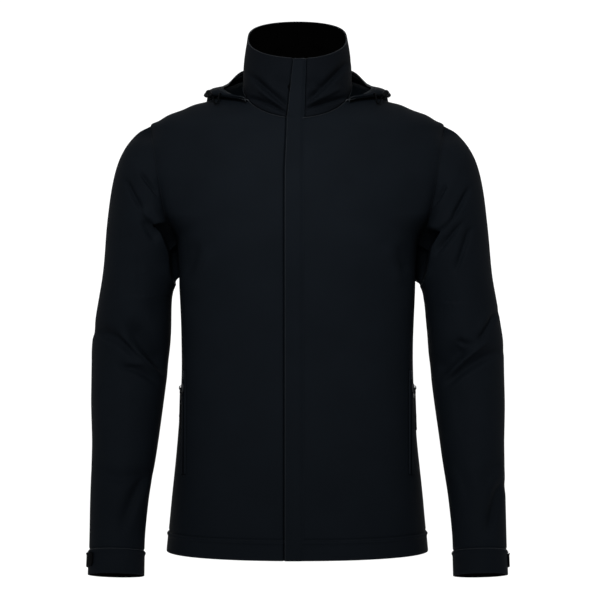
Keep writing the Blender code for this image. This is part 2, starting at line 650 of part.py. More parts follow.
def slider_and_pull(side_name, grid):
    """A slider on the coil with an arched bridge, and a pull whose bar passes under the bridge."""
    columns = pocket_line(grid)
    frame = frame_on(grid, *at_height(grid, columns, SLIDER_Z))
    floor = POCKET_LIFT[side_name] + SEAM_GAP + TAPE_WALL + COIL_RISE + SEAM_GAP
    top = floor + SLIDER_PLATE
    w, h = SLIDER_WIDTH / 2, SLIDER_LENGTH / 2
    plate = box_between((-w, -h, floor), (w, h, top), frame, SLIDER_ROUND)
    body = add_shape(f"pocket_slider_{side_name}", plate, "metal")
    b, s = BRIDGE_WIDTH / 2, BRIDGE_SPAN / 2
    crown = top + BRIDGE_CLEAR + BRIDGE_BAR
    arch = box_between((-b, -s, top - BRIDGE_SUNK), (b, s, crown), frame)
    boolean(body, arch, "UNION", f"bridge_{side_name}")
    leg = s - BRIDGE_BAR
    hole = box_between((-w, -leg, top + BRIDGE_FOOT), (w, leg, top + BRIDGE_CLEAR), frame)
    boolean(body, hole, "DIFFERENCE", f"bridge_hole_{side_name}")

    axis_out = top + BRIDGE_CLEAR / 2
    r = PULL_BAR / 2
    e = PULL_WIDTH / 2
    link = PULL_BAR + PULL_WINDOW + PULL_BAR
    eye = box_between((-e, r - link, axis_out - r), (e, r, axis_out + r), frame)
    pull = add_shape(f"pocket_pull_{side_name}", eye, "plastic")
    tail, wall = PULL_TAIL_WIDTH / 2, PULL_WALL / 2
    low, high = (-tail, -PULL_LENGTH, axis_out - wall), (tail, r - link + PULL_BAR / 2, axis_out + wall)
    tail_shape = box_between(low, high, frame, PULL_ROUND)
    boolean(pull, tail_shape, "UNION", f"pull_tail_{side_name}")
    q = PULL_WINDOW_WIDTH / 2
    window = box_between((-q, -r - PULL_WINDOW, axis_out - PULL_BAR), (q, -r, axis_out + PULL_BAR), frame)
    boolean(pull, window, "DIFFERENCE", f"pull_window_{side_name}")
    point, wide, up, out = frame
    pivot = point + out * axis_out
    print(f"pull {side_name}: pivot {np.round(pivot, 5).tolist()}, axis {np.round(wide, 5).tolist()}")


def front_opening():
    """The hidden zip behind the opening and the flap over it, from the fronts' points and the collar's."""
    heights = np.linspace(0.10, 0.985, COLLAR_LINES)

    def up_the_collar(strip_xs_low, strip_xs_high, out):
        body = front_strip(np.array(strip_xs_low[0]), np.array(strip_xs_low[1]), out)
        neck = BODY_ROWS[NECK_ROW]
        rows = []
        for h in heights:
            xs = np.array(strip_xs_low[1]) + (np.array(strip_xs_high) - np.array(strip_xs_low[1])) * h
            row = []
            for x in xs:
                shifted = x - COLLAR_LEAN * h
                start = body_line(neck, FRONT, angle_at(neck, shifted), angle_at(neck, shifted), 1)[0]
                point = collar_point(start, h)
                point[0] = x
                row.append(point)
            rows.append(row)
        collar = np.array(rows)
        collar = collar + normals_of(collar) * np.asarray(out)[None, :, None]
        return np.concatenate([body[:-1], collar])

    low = np.linspace(FLAP_FREE_EDGE, FLAP_SEWN_EDGE, FLAP_COLUMNS)
    high = np.linspace(FLAP_TOP_FREE, FLAP_TOP_SEWN, FLAP_COLUMNS)
    raised = FLAP_WALL + FLAP_CLEAR
    flap = up_the_collar((low, low), high, np.full(FLAP_COLUMNS, raised))
    cloth("storm_flap", flap, FLAP_WALL)

    t, c = ZIP_TAPE / 2, COIL_WIDTH / 2
    inside = -COLLAR_WALL - 3 * SEAM_GAP
    profile = [
        (-t, inside - TAPE_WALL), (t, inside - TAPE_WALL), (t, inside), (c, inside),
        (c, -SEAM_GAP), (-c, -SEAM_GAP), (-c, inside), (-t, inside),
    ]
    xs = np.array([p[0] for p in profile])
    outs = np.array([p[1] for p in profile])
    grid_xs = ZIP_MIDDLE + xs
    order = np.argsort(xs, kind="stable")
    plain = up_the_collar((grid_xs[order], grid_xs[order]), grid_xs[order] + COLLAR_LEAN, np.zeros(len(xs)))
    normal = np.stack([normals_of(plain[:, [0, -1]])[:, 0]] * len(xs), axis=1)
    rings = np.empty_like(plain)
    rings[:, order] = plain
    rings = rings + normal * outs[None, :, None]
    swept("front_zip", rings[1:-2], "zip")

    across = sample(plain, [len(xs) / 2 - 0.5], np.arange(len(plain)))[:, 0]
    foot = across[-3] + (across[-2] - across[-3]) * SLIDER_FOOT
    up = across[-2] - across[-3]
    up = up / np.linalg.norm(up)
    wide = np.array([1.0, 0, 0])
    wide = wide - up * (wide @ up)
    wide = wide / np.linalg.norm(wide)
    frame = (foot, wide, up, np.cross(wide, up))
    half = ZIP_OPENING / 2 - SLIDER_ROOM
    add_shape(
        "front_zip_slider",
        box_between((-half, 0.0, -COLLAR_WALL), (half, FRONT_SLIDER_LENGTH, -SEAM_GAP), frame, 0.0005, 1),
        "metal",
    )


# Straps and cords

def cuff_strap(name, grid, side_name):
    """A strap round the outside of a cuff, from behind to its free end in front."""
    count = grid.shape[1]
    middle = grid[0].mean(axis=0)
    from_edge = np.linalg.norm(grid[1:5].mean(axis=1) - middle, axis=1)
    rows = np.interp([STRAP_UP - STRAP_WIDTH / 2, STRAP_UP, STRAP_UP + STRAP_WIDTH / 2],
                     np.concatenate([[0], from_edge]), np.arange(5))
    side = 1 if side_name == "left" else -1
    turn = np.degrees(np.arctan2(-(grid[0, :, 1] - middle[1]), side * (grid[0, :, 0] - middle[0])))
    order = np.argsort(turn)
    spun = np.concatenate([turn[order] - 360, turn[order], turn[order] + 360])
    column = np.unwrap(np.tile(order, 3), period=count)
    ends = np.sort(np.interp([STRAP_SEWN_DEG, STRAP_END_DEG[side_name]], spun, column))
    columns = np.concatenate([ends[:1], np.arange(math.ceil(ends[0] + 0.15), ends[1] - 0.15), ends[1:]])
    strip = sample(grid, columns, rows, closed=True)
    normal = normals_of(strip)
    if (normal * (strip - middle)).sum() < 0:
        strip = strip[:, ::-1]
        normal = normals_of(strip)
    cloth(name, strip + normal * (2 * SEAM_GAP + STRAP_WALL), STRAP_WALL)


def drawcord(side_name, side, hood):
    """The end of the hood's drawcord, hanging out of the hood in front, and the lock that it runs through."""
    near = sample(hood, [CORD_EXIT_COLUMN, CORD_EXIT_COLUMN + 0.2], [CORD_EXIT_ROW, CORD_EXIT_ROW + 0.2])
    out = np.cross(near[0, 1] - near[0, 0], near[1, 0] - near[0, 0])
    out = out / np.linalg.norm(out)
    start = near[0, 0] + out * (CLOTH / 2 + CORD_CLEAR)
    line = np.concatenate([[start, start + out * 2 * CORD_RADIUS], CORD_HANGING])
    smooth = spaced_smooth(line, CORD_POINTS) * np.array([side, 1, 1])
    curve = bpy.data.curves.new(f"hood_cord_{side_name}", "CURVE")
    curve.dimensions = "3D"
    curve.bevel_depth = CORD_RADIUS
    curve.bevel_resolution = 2
    curve.use_fill_caps = True
    spline = curve.splines.new("POLY")
    spline.points.add(len(smooth) - 1)
    for point, co in zip(spline.points, smooth):
        point.co = (*co, 1)
    obj = bpy.data.objects.new(f"hood_cord_{side_name}", curve)
    curve.materials.append(material(f"shell:hood_cord_{side_name}"))
    parts.objects.link(obj)

    way = smooth[-1] - smooth[-3]
    way = way / np.linalg.norm(way)
    start = smooth[-1] + way * SEAM_GAP
    across = np.cross(way, [0, 0, 1.0])
    across = across / np.linalg.norm(across)
    aside = np.cross(way, across)
    turn = np.arange(LOCK_SIDES)[:, None] / LOCK_SIDES * 2 * math.pi
    circle = LOCK_RADIUS * (np.cos(turn) * across + np.sin(turn) * aside)
    rings = [start + way * (at * LOCK_LENGTH) + circle * size for at, size in LOCK_PROFILE]
    swept(f"cord_lock_{side_name}", rings, "plastic")


# Build

for old in list(bpy.data.objects):
    bpy.data.objects.remove(old)
parts = bpy.data.collections.new("windbreaker")
bpy.context.scene.collection.children.link(parts)

half_opening = ZIP_OPENING / 2
front_left = folded("front_left", front_grid(ZIP_MIDDLE + half_opening))
front_right = folded("front_right", mirrored(front_grid(-(ZIP_MIDDLE - half_opening))))
half_back = back_half_grid()
back = np.concatenate([half_back[:, ::-1], mirrored(half_back)[:, ::-1][:, 1:]], axis=1)
cloth("front_left", front_left, CLOTH)
cloth("front_right", front_right, CLOTH)
cloth("back", back, CLOTH)

plus_front = front_grid(ZIP_MIDDLE + half_opening)
ring = armhole_ring(plus_front, half_back[:, ::-1])
for side_name, side in (("left", 1), ("right", -1)):
    name = f"sleeve_{side_name}"
    sleeve = folded(name, sleeve_grid(ring, side)[::-1][:, ::-1], True)[::-1][:, ::-1]
    cloth(name, sleeve, CLOTH, closed=True)
    cuff_strap(f"cuff_tab_{side_name}", sleeve, side_name)

base = collar_base(front_left, back, front_right)
collar = folded("collar", collar_grid(base))
cloth("collar", collar, COLLAR_WALL)
front_opening()

hood = hood_grid()
hood_half = hood + np.array([SEAM_GAP / 2, 0, 0])
cloth("hood_left", hood_half, CLOTH, offset=0.0)
cloth("hood_right", mirrored(hood_half), CLOTH, offset=0.0)

for side_name, side, grid in (("left", 1, front_left), ("right", -1, front_right)):
    pocket_zip(side_name, grid)
    slider_and_pull(side_name, grid)
    drawcord(side_name, side, hood)
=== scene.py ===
"""Looks of a dark softshell windbreaker with a stand-up collar and a hood laid back.

Metres, +Z up. The front faces -Y and the wearer's left is +X. The cloth repeats the part's own sections at a
finer step, and adds creases, seams, stitches and the zips' small parts.
"""

import json
import math
from collections import namedtuple

import bmesh
import bpy
import numpy as np
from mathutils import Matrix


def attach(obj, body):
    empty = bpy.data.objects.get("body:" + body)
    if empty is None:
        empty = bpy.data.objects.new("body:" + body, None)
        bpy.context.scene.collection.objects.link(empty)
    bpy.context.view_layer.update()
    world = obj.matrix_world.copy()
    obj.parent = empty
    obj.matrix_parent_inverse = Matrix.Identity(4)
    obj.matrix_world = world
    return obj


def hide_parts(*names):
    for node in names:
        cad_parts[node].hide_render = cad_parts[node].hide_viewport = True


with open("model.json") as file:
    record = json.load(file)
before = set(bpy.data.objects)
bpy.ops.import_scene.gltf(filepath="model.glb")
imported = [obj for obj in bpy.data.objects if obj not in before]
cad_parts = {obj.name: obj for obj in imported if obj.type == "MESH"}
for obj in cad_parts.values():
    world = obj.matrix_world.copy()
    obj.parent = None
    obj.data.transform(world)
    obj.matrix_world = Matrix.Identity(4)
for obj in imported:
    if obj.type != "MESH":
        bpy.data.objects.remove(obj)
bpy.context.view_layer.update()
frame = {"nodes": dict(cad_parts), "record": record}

# Camera, as in the photograph: level, far away, with a long lens
CAMERA_X, CAMERA_Z, CAMERA_FAR = 0.004, -0.300, 3.0
LENS, SENSOR = 120, 36
FLOOR_Z, FLOOR_SIZE = -0.95, 60.0
WORLD_LIGHT = 1.12
FLOOR_TONE, FLOOR_DRIFT, FLOOR_PATCHES, FLOOR_ROUGHNESS = 0.95, 0.01, 3.0, 0.9
Light = namedtuple("Light", "name place target radius cone power")
LIGHTS = [
    Light("key", (-0.20, -1.70, 1.20), (0.0, -0.11, -0.14), 0.25, 17, 355),
    Light("front", (-0.30, -2.40, 0.80), (0.0, 0.0, -0.32), 0.40, 48, 178),
    Light("low", (0.0, -2.40, -0.50), (0.0, -0.10, -0.50), 0.50, 14, 108),
    Light("back", (0.0, 2.60, -0.10), (0.0, 0.0, -0.32), 0.40, 44, 290),
    Light("left", (2.20, 1.60, -0.20), (0.15, 0.0, -0.32), 0.40, 40, 60),
    Light("right", (-2.20, 1.60, -0.20), (-0.15, 0.0, -0.32), 0.40, 40, 60),
]

MM = 0.001
FRONT, BACK = -1, 1

# Walls and gaps
CLOTH = 0.0015
COLLAR_WALL = 0.0024
FLAP_WALL = 0.0016
STRAP_WALL = 0.0018
SEAM_GAP = 0.0003
SLEEVE_TUCK = 0.0003    # the sleeve's end goes this far into the armhole seam
EDGE_STEPS = np.array([0.0046, 0.0034, 0.0024, 0.0016, 0.0009, 0.0004, 0.0])    # last columns beside a seam
EDGE_BAND = 0.0062
# First columns, closer together by the flap's edge
START_STEPS = MM * np.array([0.0, 2.0, 4.0, 6.0, 7.4, 8.2, 8.8, 9.3, 9.8, 10.3, 10.8, 11.4, 12.2])
START_BAND = 0.0140

# Front opening, measured across from the middle line
ZIP_MIDDLE, ZIP_OPENING = -0.005, 0.008
FLAP_FREE_EDGE, FLAP_SEWN_EDGE = -0.0178, 0.0104
FLAP_TOP_FREE, FLAP_TOP_SEWN = -0.0053, 0.0130
FLAP_NECK = 0.0030      # the free edge has moved this far by the neck seam
FLAP_RAISED, FLAP_ROUND = 0.0027, 0.0012
FLAP_COLUMNS = MM * np.array([0.0, 0.15, 0.35, 0.6, 0.9, 1.2])     # closer together at the free edge
FLAP_EVEN, FLAP_LAST = np.linspace(0.08, 0.94, 14), [0.97, 1.0]    # the other columns, as shares of the width
FLAP_LIE = 0.30         # this share of the width lies down towards the sewn edge
FLAP_NECK_RUN = 0.09    # the free edge moves over this height below the neck seam
FLAP_COLLAR_SPAN = (0.03, 0.985)    # shares of the collar's height between which the flap covers it
FLAP_SOFTENED = 3       # rounds of softening along the flap
FLAP_EDGE_GAPS = 4      # this many columns at the free edge have the edge look, a painted highlight
COLLAR_LEAN = 0.007     # the opening leans this far to the wearer's left by the collar's top

# Body sections from the hem to the neck seam. Each runs from the middle line to the panel's edge: the side
# seam up to the armpit, then the armhole up to the shoulder tip, then the shoulder seam up to the neck.
BodyRow = namedtuple(
    "BodyRow", "name z_front z_back z_edge half_width edge_x y_front y_back y_edge roundness z_ease"
)
BODY_ROWS = [
    BodyRow("hem", -0.6755, -0.675, -0.674, 0.1955, 0.1955, -0.120, 0.116, 0.000, 2.20, 1.0),
    BodyRow("hip", -0.600, -0.600, -0.600, 0.1885, 0.1885, -0.117, 0.110, 0.000, 2.28, 1.0),
    BodyRow("below waist", -0.500, -0.500, -0.500, 0.1785, 0.1785, -0.111, 0.098, 0.000, 2.35, 1.0),
    BodyRow("waist", -0.390, -0.390, -0.390, 0.1730, 0.1730, -0.107, 0.093, 0.000, 2.40, 1.0),
    BodyRow("ribs", -0.290, -0.290, -0.290, 0.1760, 0.1760, -0.112, 0.102, 0.000, 2.50, 1.0),
    BodyRow("armpit", -0.215, -0.215, -0.215, 0.1810, 0.1810, -0.116, 0.112, 0.000, 2.70, 1.0),
    BodyRow("low armhole", -0.175, -0.165, -0.172, 0.2070, 0.1960, -0.114, 0.116, 0.001, 2.40, 1.0),
    BodyRow("mid armhole", -0.130, -0.105, -0.123, 0.2280, 0.2050, -0.108, 0.116, 0.002, 2.30, 1.2),
    BodyRow("high armhole", -0.092, -0.050, -0.078, 0.2290, 0.2130, -0.101, 0.111, 0.003, 2.15, 1.5),
    BodyRow("shoulder tip", -0.062, 0.005, -0.0375, 0.2200, 0.2200, -0.093, 0.102, 0.004, 1.90, 2.0),
    BodyRow("mid shoulder", -0.048, 0.028, -0.0080, 0.1500, 0.1500, -0.089, 0.096, 0.004, 1.95, 1.6),
    BodyRow("neck", -0.035, 0.048, 0.018, 0.0810, 0.0810, -0.085, 0.088, 0.0015, 2.00, 1.0),
]
ARMPIT_ROW, TIP_ROW, NECK_ROW = 5, 9, 11
BODY_LINES, ARMHOLE_LINES, SHOULDER_LINES = 120, 75, 40
FRONT_COLUMNS, BACK_HALF_COLUMNS = 110, 58
NECK_STEPS = np.array([0.004, 0.010, 0.018, 0.028])    # last lines under the neck seam
HEM_LINES, HEM_LINES_CLEAR = np.linspace(-0.14, 0.08, 21), 0.01    # close lines round the hem's stitching
SECTION_POINTS, SMOOTH_POINTS = 1200, 240      # points of a line before it is spaced out
PROBE_POINTS, PROBE_STEP, PROBE_INSIDE = 400, 0.02, 0.999      # for a place on the body and its normal
PROBE_PARTS = 1000

# The shoulder's outline, as distance across and height, and how cloth near it is eased, in millimetres: where
# across, how wide and how far up
SHOULDER_TOP = [
    (0.081, 0.018), (0.150, -0.008), (0.220, -0.0375), (0.258, -0.0706), (0.285, -0.120), (0.300, -0.200),
]
SHOULDER_EASE = [(155, 14, 2.8), (209, 11.5, -3.9), (237, 10, 2.4), (261, 8, -2.2)]
SHOULDER_DEEP = 0.045
# The armhole's front, in millimetres: height, distance across, and how far the cloth there is eased forward
VALLEY = [
    (-200, 187, 0.0), (-186, 191, 4.5), (-165, 197.5, 7.0), (-135, 203.5, 7.0),
    (-90, 209.5, 7.0), (-60, 215.5, 7.0), (-40, 219.5, 3.0),
]
VALLEY_SOFT, VALLEY_DEEP = 0.026, 0.030

# Sleeve rings after the armhole: middle of the ring, half sizes, and how far its outer side and its front
# are raised, in degrees
SleeveRing = namedtuple("SleeveRing", "name x y z half_width half_depth tilt pitch")
SLEEVE_RINGS = [
    SleeveRing("cap", 0.2200, 0.001, -0.1505, 0.0885, 0.067, 64.5, 0),
    SleeveRing("shoulder muscle", 0.2281, 0.000, -0.1850, 0.0795, 0.067, 53.0, 0),
    SleeveRing("high upper arm", 0.2318, 0.000, -0.2260, 0.0665, 0.065, 37.0, 0),
    SleeveRing("upper arm", 0.2395, 0.000, -0.2740, 0.0545, 0.063, 18.0, 0),
    SleeveRing("above elbow", 0.2470, 0.003, -0.3300, 0.0553, 0.062, 7.0, 0),
    SleeveRing("elbow", 0.2525, 0.004, -0.3850, 0.0563, 0.060, 4.0, 4),
    SleeveRing("below elbow", 0.2560, -0.003, -0.4480, 0.0530, 0.057, 4.0, 8),
    SleeveRing("forearm", 0.2595, -0.021, -0.5230, 0.0468, 0.051, 4.0, 11),
    SleeveRing("low forearm", 0.2645, -0.041, -0.5960, 0.0418, 0.046, 3.5, 12),
    SleeveRing("cuff seam", 0.2670, -0.055, -0.6600, 0.0396, 0.0435, 2.0, 12),
    SleeveRing("cuff edge", 0.2675, -0.064, -0.7035, 0.0398, 0.0435, 1.0, 12),
]
UPPER_SLEEVE_LINES, LOWER_SLEEVE_LINES, ELBOW_RING = 175, 85, 7
SLEEVE_FIRST, SLEEVE_EVEN_FROM = [0, 0.02, 0.04, 0.07, 0.11], 0.16     # first lines at the armhole
CUFF_LINES, CUFF_LINES_CLEAR = np.linspace(-0.045, 0.045, 9), 0.05     # close lines at the stitching
LEAN_FROM, LEAN_OVER, LOWER_LEAN = -0.27, 0.08, 0.0015      # the lower sleeves lean to the wearer's left
RIGHT_FULLER, SLEEVE_HALF = 0.0015, 0.05       # the right one is fuller below, by this at this half width

# Collar's top edge: an ellipse on a plane that rises to the back
COLLAR_TOP_HALF = 0.0752
COLLAR_TOP_Y = 0.015
COLLAR_TOP_DEPTH = 0.0755
COLLAR_TOP_Z = 0.0920
COLLAR_TOP_RISE = 0.0370
COLLAR_BULGE = 0.0025
COLLAR_BACK_EASE = 0.7
COLLAR_LEAN_TURN = 0.45     # the lean fades over this angle from the middle of the front
COLLAR_LINES = 68
COLLAR_FIRST = np.array([0.004, 0.010, 0.016, 0.024, 0.035])    # first lines above the neck seam
COLLAR_EVEN_FROM = 0.05

# Hood laid back: rim points for one half, from the front end of its seam round to the middle of the back
RimPoint = namedtuple("RimPoint", "name neck_deg x y z")
HOOD_RIM = [
    RimPoint("front end", 60, 0.0765, -0.0460, -0.0060),
    RimPoint("over the collar bone", 76, 0.0930, -0.0310, 0.0025),
    RimPoint("shoulder", 92, 0.1110, -0.0090, 0.0165),
    RimPoint("behind the shoulder", 118, 0.1060, 0.0620, 0.0290),
    RimPoint("beside the collar", 143, 0.0840, 0.1120, 0.0560),
    RimPoint("behind the collar", 163, 0.0440, 0.1370, 0.0640),
    RimPoint("middle of the back", 180, 0.0000, 0.1460, 0.0670),
]
# Where the pouch turns up again, as places on the body. Round counts from the front's middle (0) over the
# side and shoulder seams (1) to the back's middle (2); clearance is how far the cloth's middle stands off the
# body and lift how far the pouch opens there.
FoldPlace = namedtuple("FoldPlace", "round row clearance lift")
HOOD_FOLD = [
    FoldPlace(0.665, 10.90, 0.0064, 0.0022),
    FoldPlace(0.870, 10.52, 0.0056, 0.0030),
    FoldPlace(1.000, 10.33, 0.0056, 0.0030),
    FoldPlace(1.420, 9.55, 0.0105, 0.0050),
    FoldPlace(1.600, 7.75, 0.0095, 0.0080),
    FoldPlace(1.790, 6.60, 0.0105, 0.0080),
    FoldPlace(2.000, 6.20, 0.0110, 0.0080),
]
HOOD_COLUMNS, HOOD_LINES = 96, 84
SOLID_HOOD_COLUMNS, SOLID_HOOD_LINES = 15, 14     # the solid's own grid, which places the cord's exit
HOOD_SEAM_OUT, HOOD_SEAM_UP = 0.0018, 0.0028
HOOD_CLEAR = 0.0038
HOOD_LAST_STEP = 0.02    # the last column but one is this near the middle of the back
HOOD_DOWN = (0.25, 0.5, 0.75, 1.0)      # shares of the way down from the seam to the fold
POUCH_TURN, POUCH_RISE = 0.12, 0.38

# Drawcord ends of the hood
CORD_RADIUS, CORD_CLEAR, CORD_POINTS = 0.0013, 0.00075, 40
CORD_END_POINTS = 5     # the last points, which give the lock its direction
CORD_ROUND_STEPS = 4    # how finely the cord's section is rounded
CORD_EXIT_COLUMN, CORD_EXIT_ROW, CORD_EXIT_STEP = 2.30, 8.55, 0.2
CORD_HANGING = [
    (0.1165, -0.0325, 0.0000), (0.1175, -0.0345, -0.0050), (0.1195, -0.0340, -0.0085),
    (0.1220, -0.0315, -0.0075), (0.1238, -0.0290, -0.0035), (0.1252, -0.0275, 0.0003),
    (0.1270, -0.0264, 0.0020),
]
LOCK_RADIUS, LOCK_LENGTH, LOCK_SIDES = 0.0042, 0.0125, 28
# Shares of the lock's length and of its radius: a barrel with a waist and a button
LOCK_PROFILE = [
    (0.00, 0.45), (0.02, 0.66), (0.06, 0.82), (0.12, 0.93), (0.30, 1.00), (0.46, 1.00), (0.52, 0.93),
    (0.55, 0.80), (0.60, 0.80), (0.63, 0.92), (0.70, 0.97), (0.84, 0.97), (0.92, 0.86), (0.97, 0.66),
    (1.00, 0.40),
]

# Pocket zips, down the fronts beside the side seams
POCKET_X = 0.1665
POCKET_TOP, POCKET_BOTTOM, POCKET_LINES = -0.404, -0.556, 80
TAPE_WALL, COIL_RISE = 0.0008, 0.0012
TOOTH_PITCH, TOOTH_REACH, TOOTH_RADIUS = 0.0015, 0.0009, 0.00045
TOOTH_ASIDE, TOOTH_HALF = 0.5 * TOOTH_REACH, 1.5 * TOOTH_REACH
# The zip across, in millimetres, as distance from its middle and height over its seat: cloth lips and a slit
ZIP_PROFILE = [
    (6.0, -0.8), (5.7, 0.1), (5.2, 0.5), (4.2, 0.7), (3.0, 0.9), (2.3, 0.9), (1.9, 0.7), (1.7, 0.2),
    (1.6, -0.4),
]
SLIT_HALF = 0.0018
GARAGE_HALF, GARAGE_LENGTH = 0.0021, 0.0140     # sewn box at the zip's top
# Slider and pull, measured from the pull's hinge: across, up the zip, and out of the cloth
PLATE_TOP, PLATE_FLOOR, PLATE_ROUND = -0.0013, -0.0035, 0.0007
PLATE_OUTLINE = [(0.0026, 0.0060), (0.0042, 0.0038), (0.0042, -0.0008), (0.0033, -0.0042), (0.0027, -0.0060)]
BRIDGE_PATH = [(0.0026, -0.0018), (0.0027, 0.0004), (0.0020, 0.0016), (0.0, 0.0019),
               (-0.0020, 0.0016), (-0.0027, 0.0004), (-0.0026, -0.0018)]
BRIDGE_HALF, BRIDGE_BAR, BRIDGE_POINTS = 0.0011, 0.0006, 30
EYE_HALF, EYE_LENGTH, EYE_BAR, EYE_CORNER, EYE_CORNER_POINTS = 0.0025, 0.0086, 0.0007, 0.0012, 7
# Stations down the pull: distance below the hinge, half width and half thickness
PULL_STATIONS = [
    (0.0080, 0.0008, 0.0006), (0.0086, 0.0014, 0.0009), (0.0100, 0.0017, 0.0010), (0.0360, 0.0017, 0.0010),
    (0.0385, 0.0019, 0.0010), (0.0400, 0.0024, 0.0011), (0.0600, 0.0025, 0.0011), (0.0618, 0.0024, 0.0010),
    (0.0626, 0.0018, 0.0008), (0.0630, 0.0010, 0.0004),
]
PULL_LINES, PULL_SIDES = 110, 16
GRIP_FROM, GRIP_TO, GRIP_RIDGES, GRIP_CUT = 0.0430, 0.0590, 6, 0.0004
SQUARE_POWER = 0.6      # below 1, a tube's section is squarer than a circle

# Straps on the outside of the cuffs
STRAP_UP, STRAP_WIDTH, STRAP_CORNER = 0.021, 0.019, 0.004
STRAP_SEWN_DEG = -85
STRAP_END_DEG = {"right": 44, "left": 12}
STRAP_COLUMNS, STRAP_ROWS = 70, 17

# Sewing: how far each line is from its edge
HEM_UP, CUFF_UP, TOPSTITCH = 0.0290, 0.036, 0.0020
RIM_STITCHES = (0.0020, 0.0065)
STITCH_PITCH, STITCH_SHARE, THREAD_RADIUS, THREAD_UP = 0.0030, 0.78, 0.00032, 0.5
# A short rounded rod, as shares of its half length and radius
ROD_RINGS = [(-1.0, 0.0), (-0.7, 0.85), (0.0, 1.0), (0.7, 0.85), (1.0, 0.0)]
ROUND_STEPS, SHARP_ANGLE = 6, math.radians(55)
OUTER_LOOK, INNER_LOOK, EDGE_LOOK = 0, 1, 2    # places in a wall's list of looks
SEAM_DIP, SEAM_SOFT = 0.00010, 0.0008
SEAM_PUFF, PUFF_AT, PUFF_SOFT = 0.00006, 0.0030, 0.0016
GROOVE, GROOVE_SOFT = 0.0014, 0.0020
HEM_PUFF, HEM_PUFF_DOWN, HEM_PUFF_SOFT = 0.0017, 0.0034, 0.0025
ROLL_RADIUS, ROLL_OUT = 0.00055, 0.0001     # rolled edge of the fronts along the neck seam
# The fronts stand out at the neck seam, and the collar tucks in
NECK_LIP, NECK_TUCK, NECK_SOFT = 0.0009, 0.0022, 0.0018
HEM_STEP, HEM_STEP_RISE = 0.0005, 0.002     # the doubled cloth at the hem and cuffs stands out

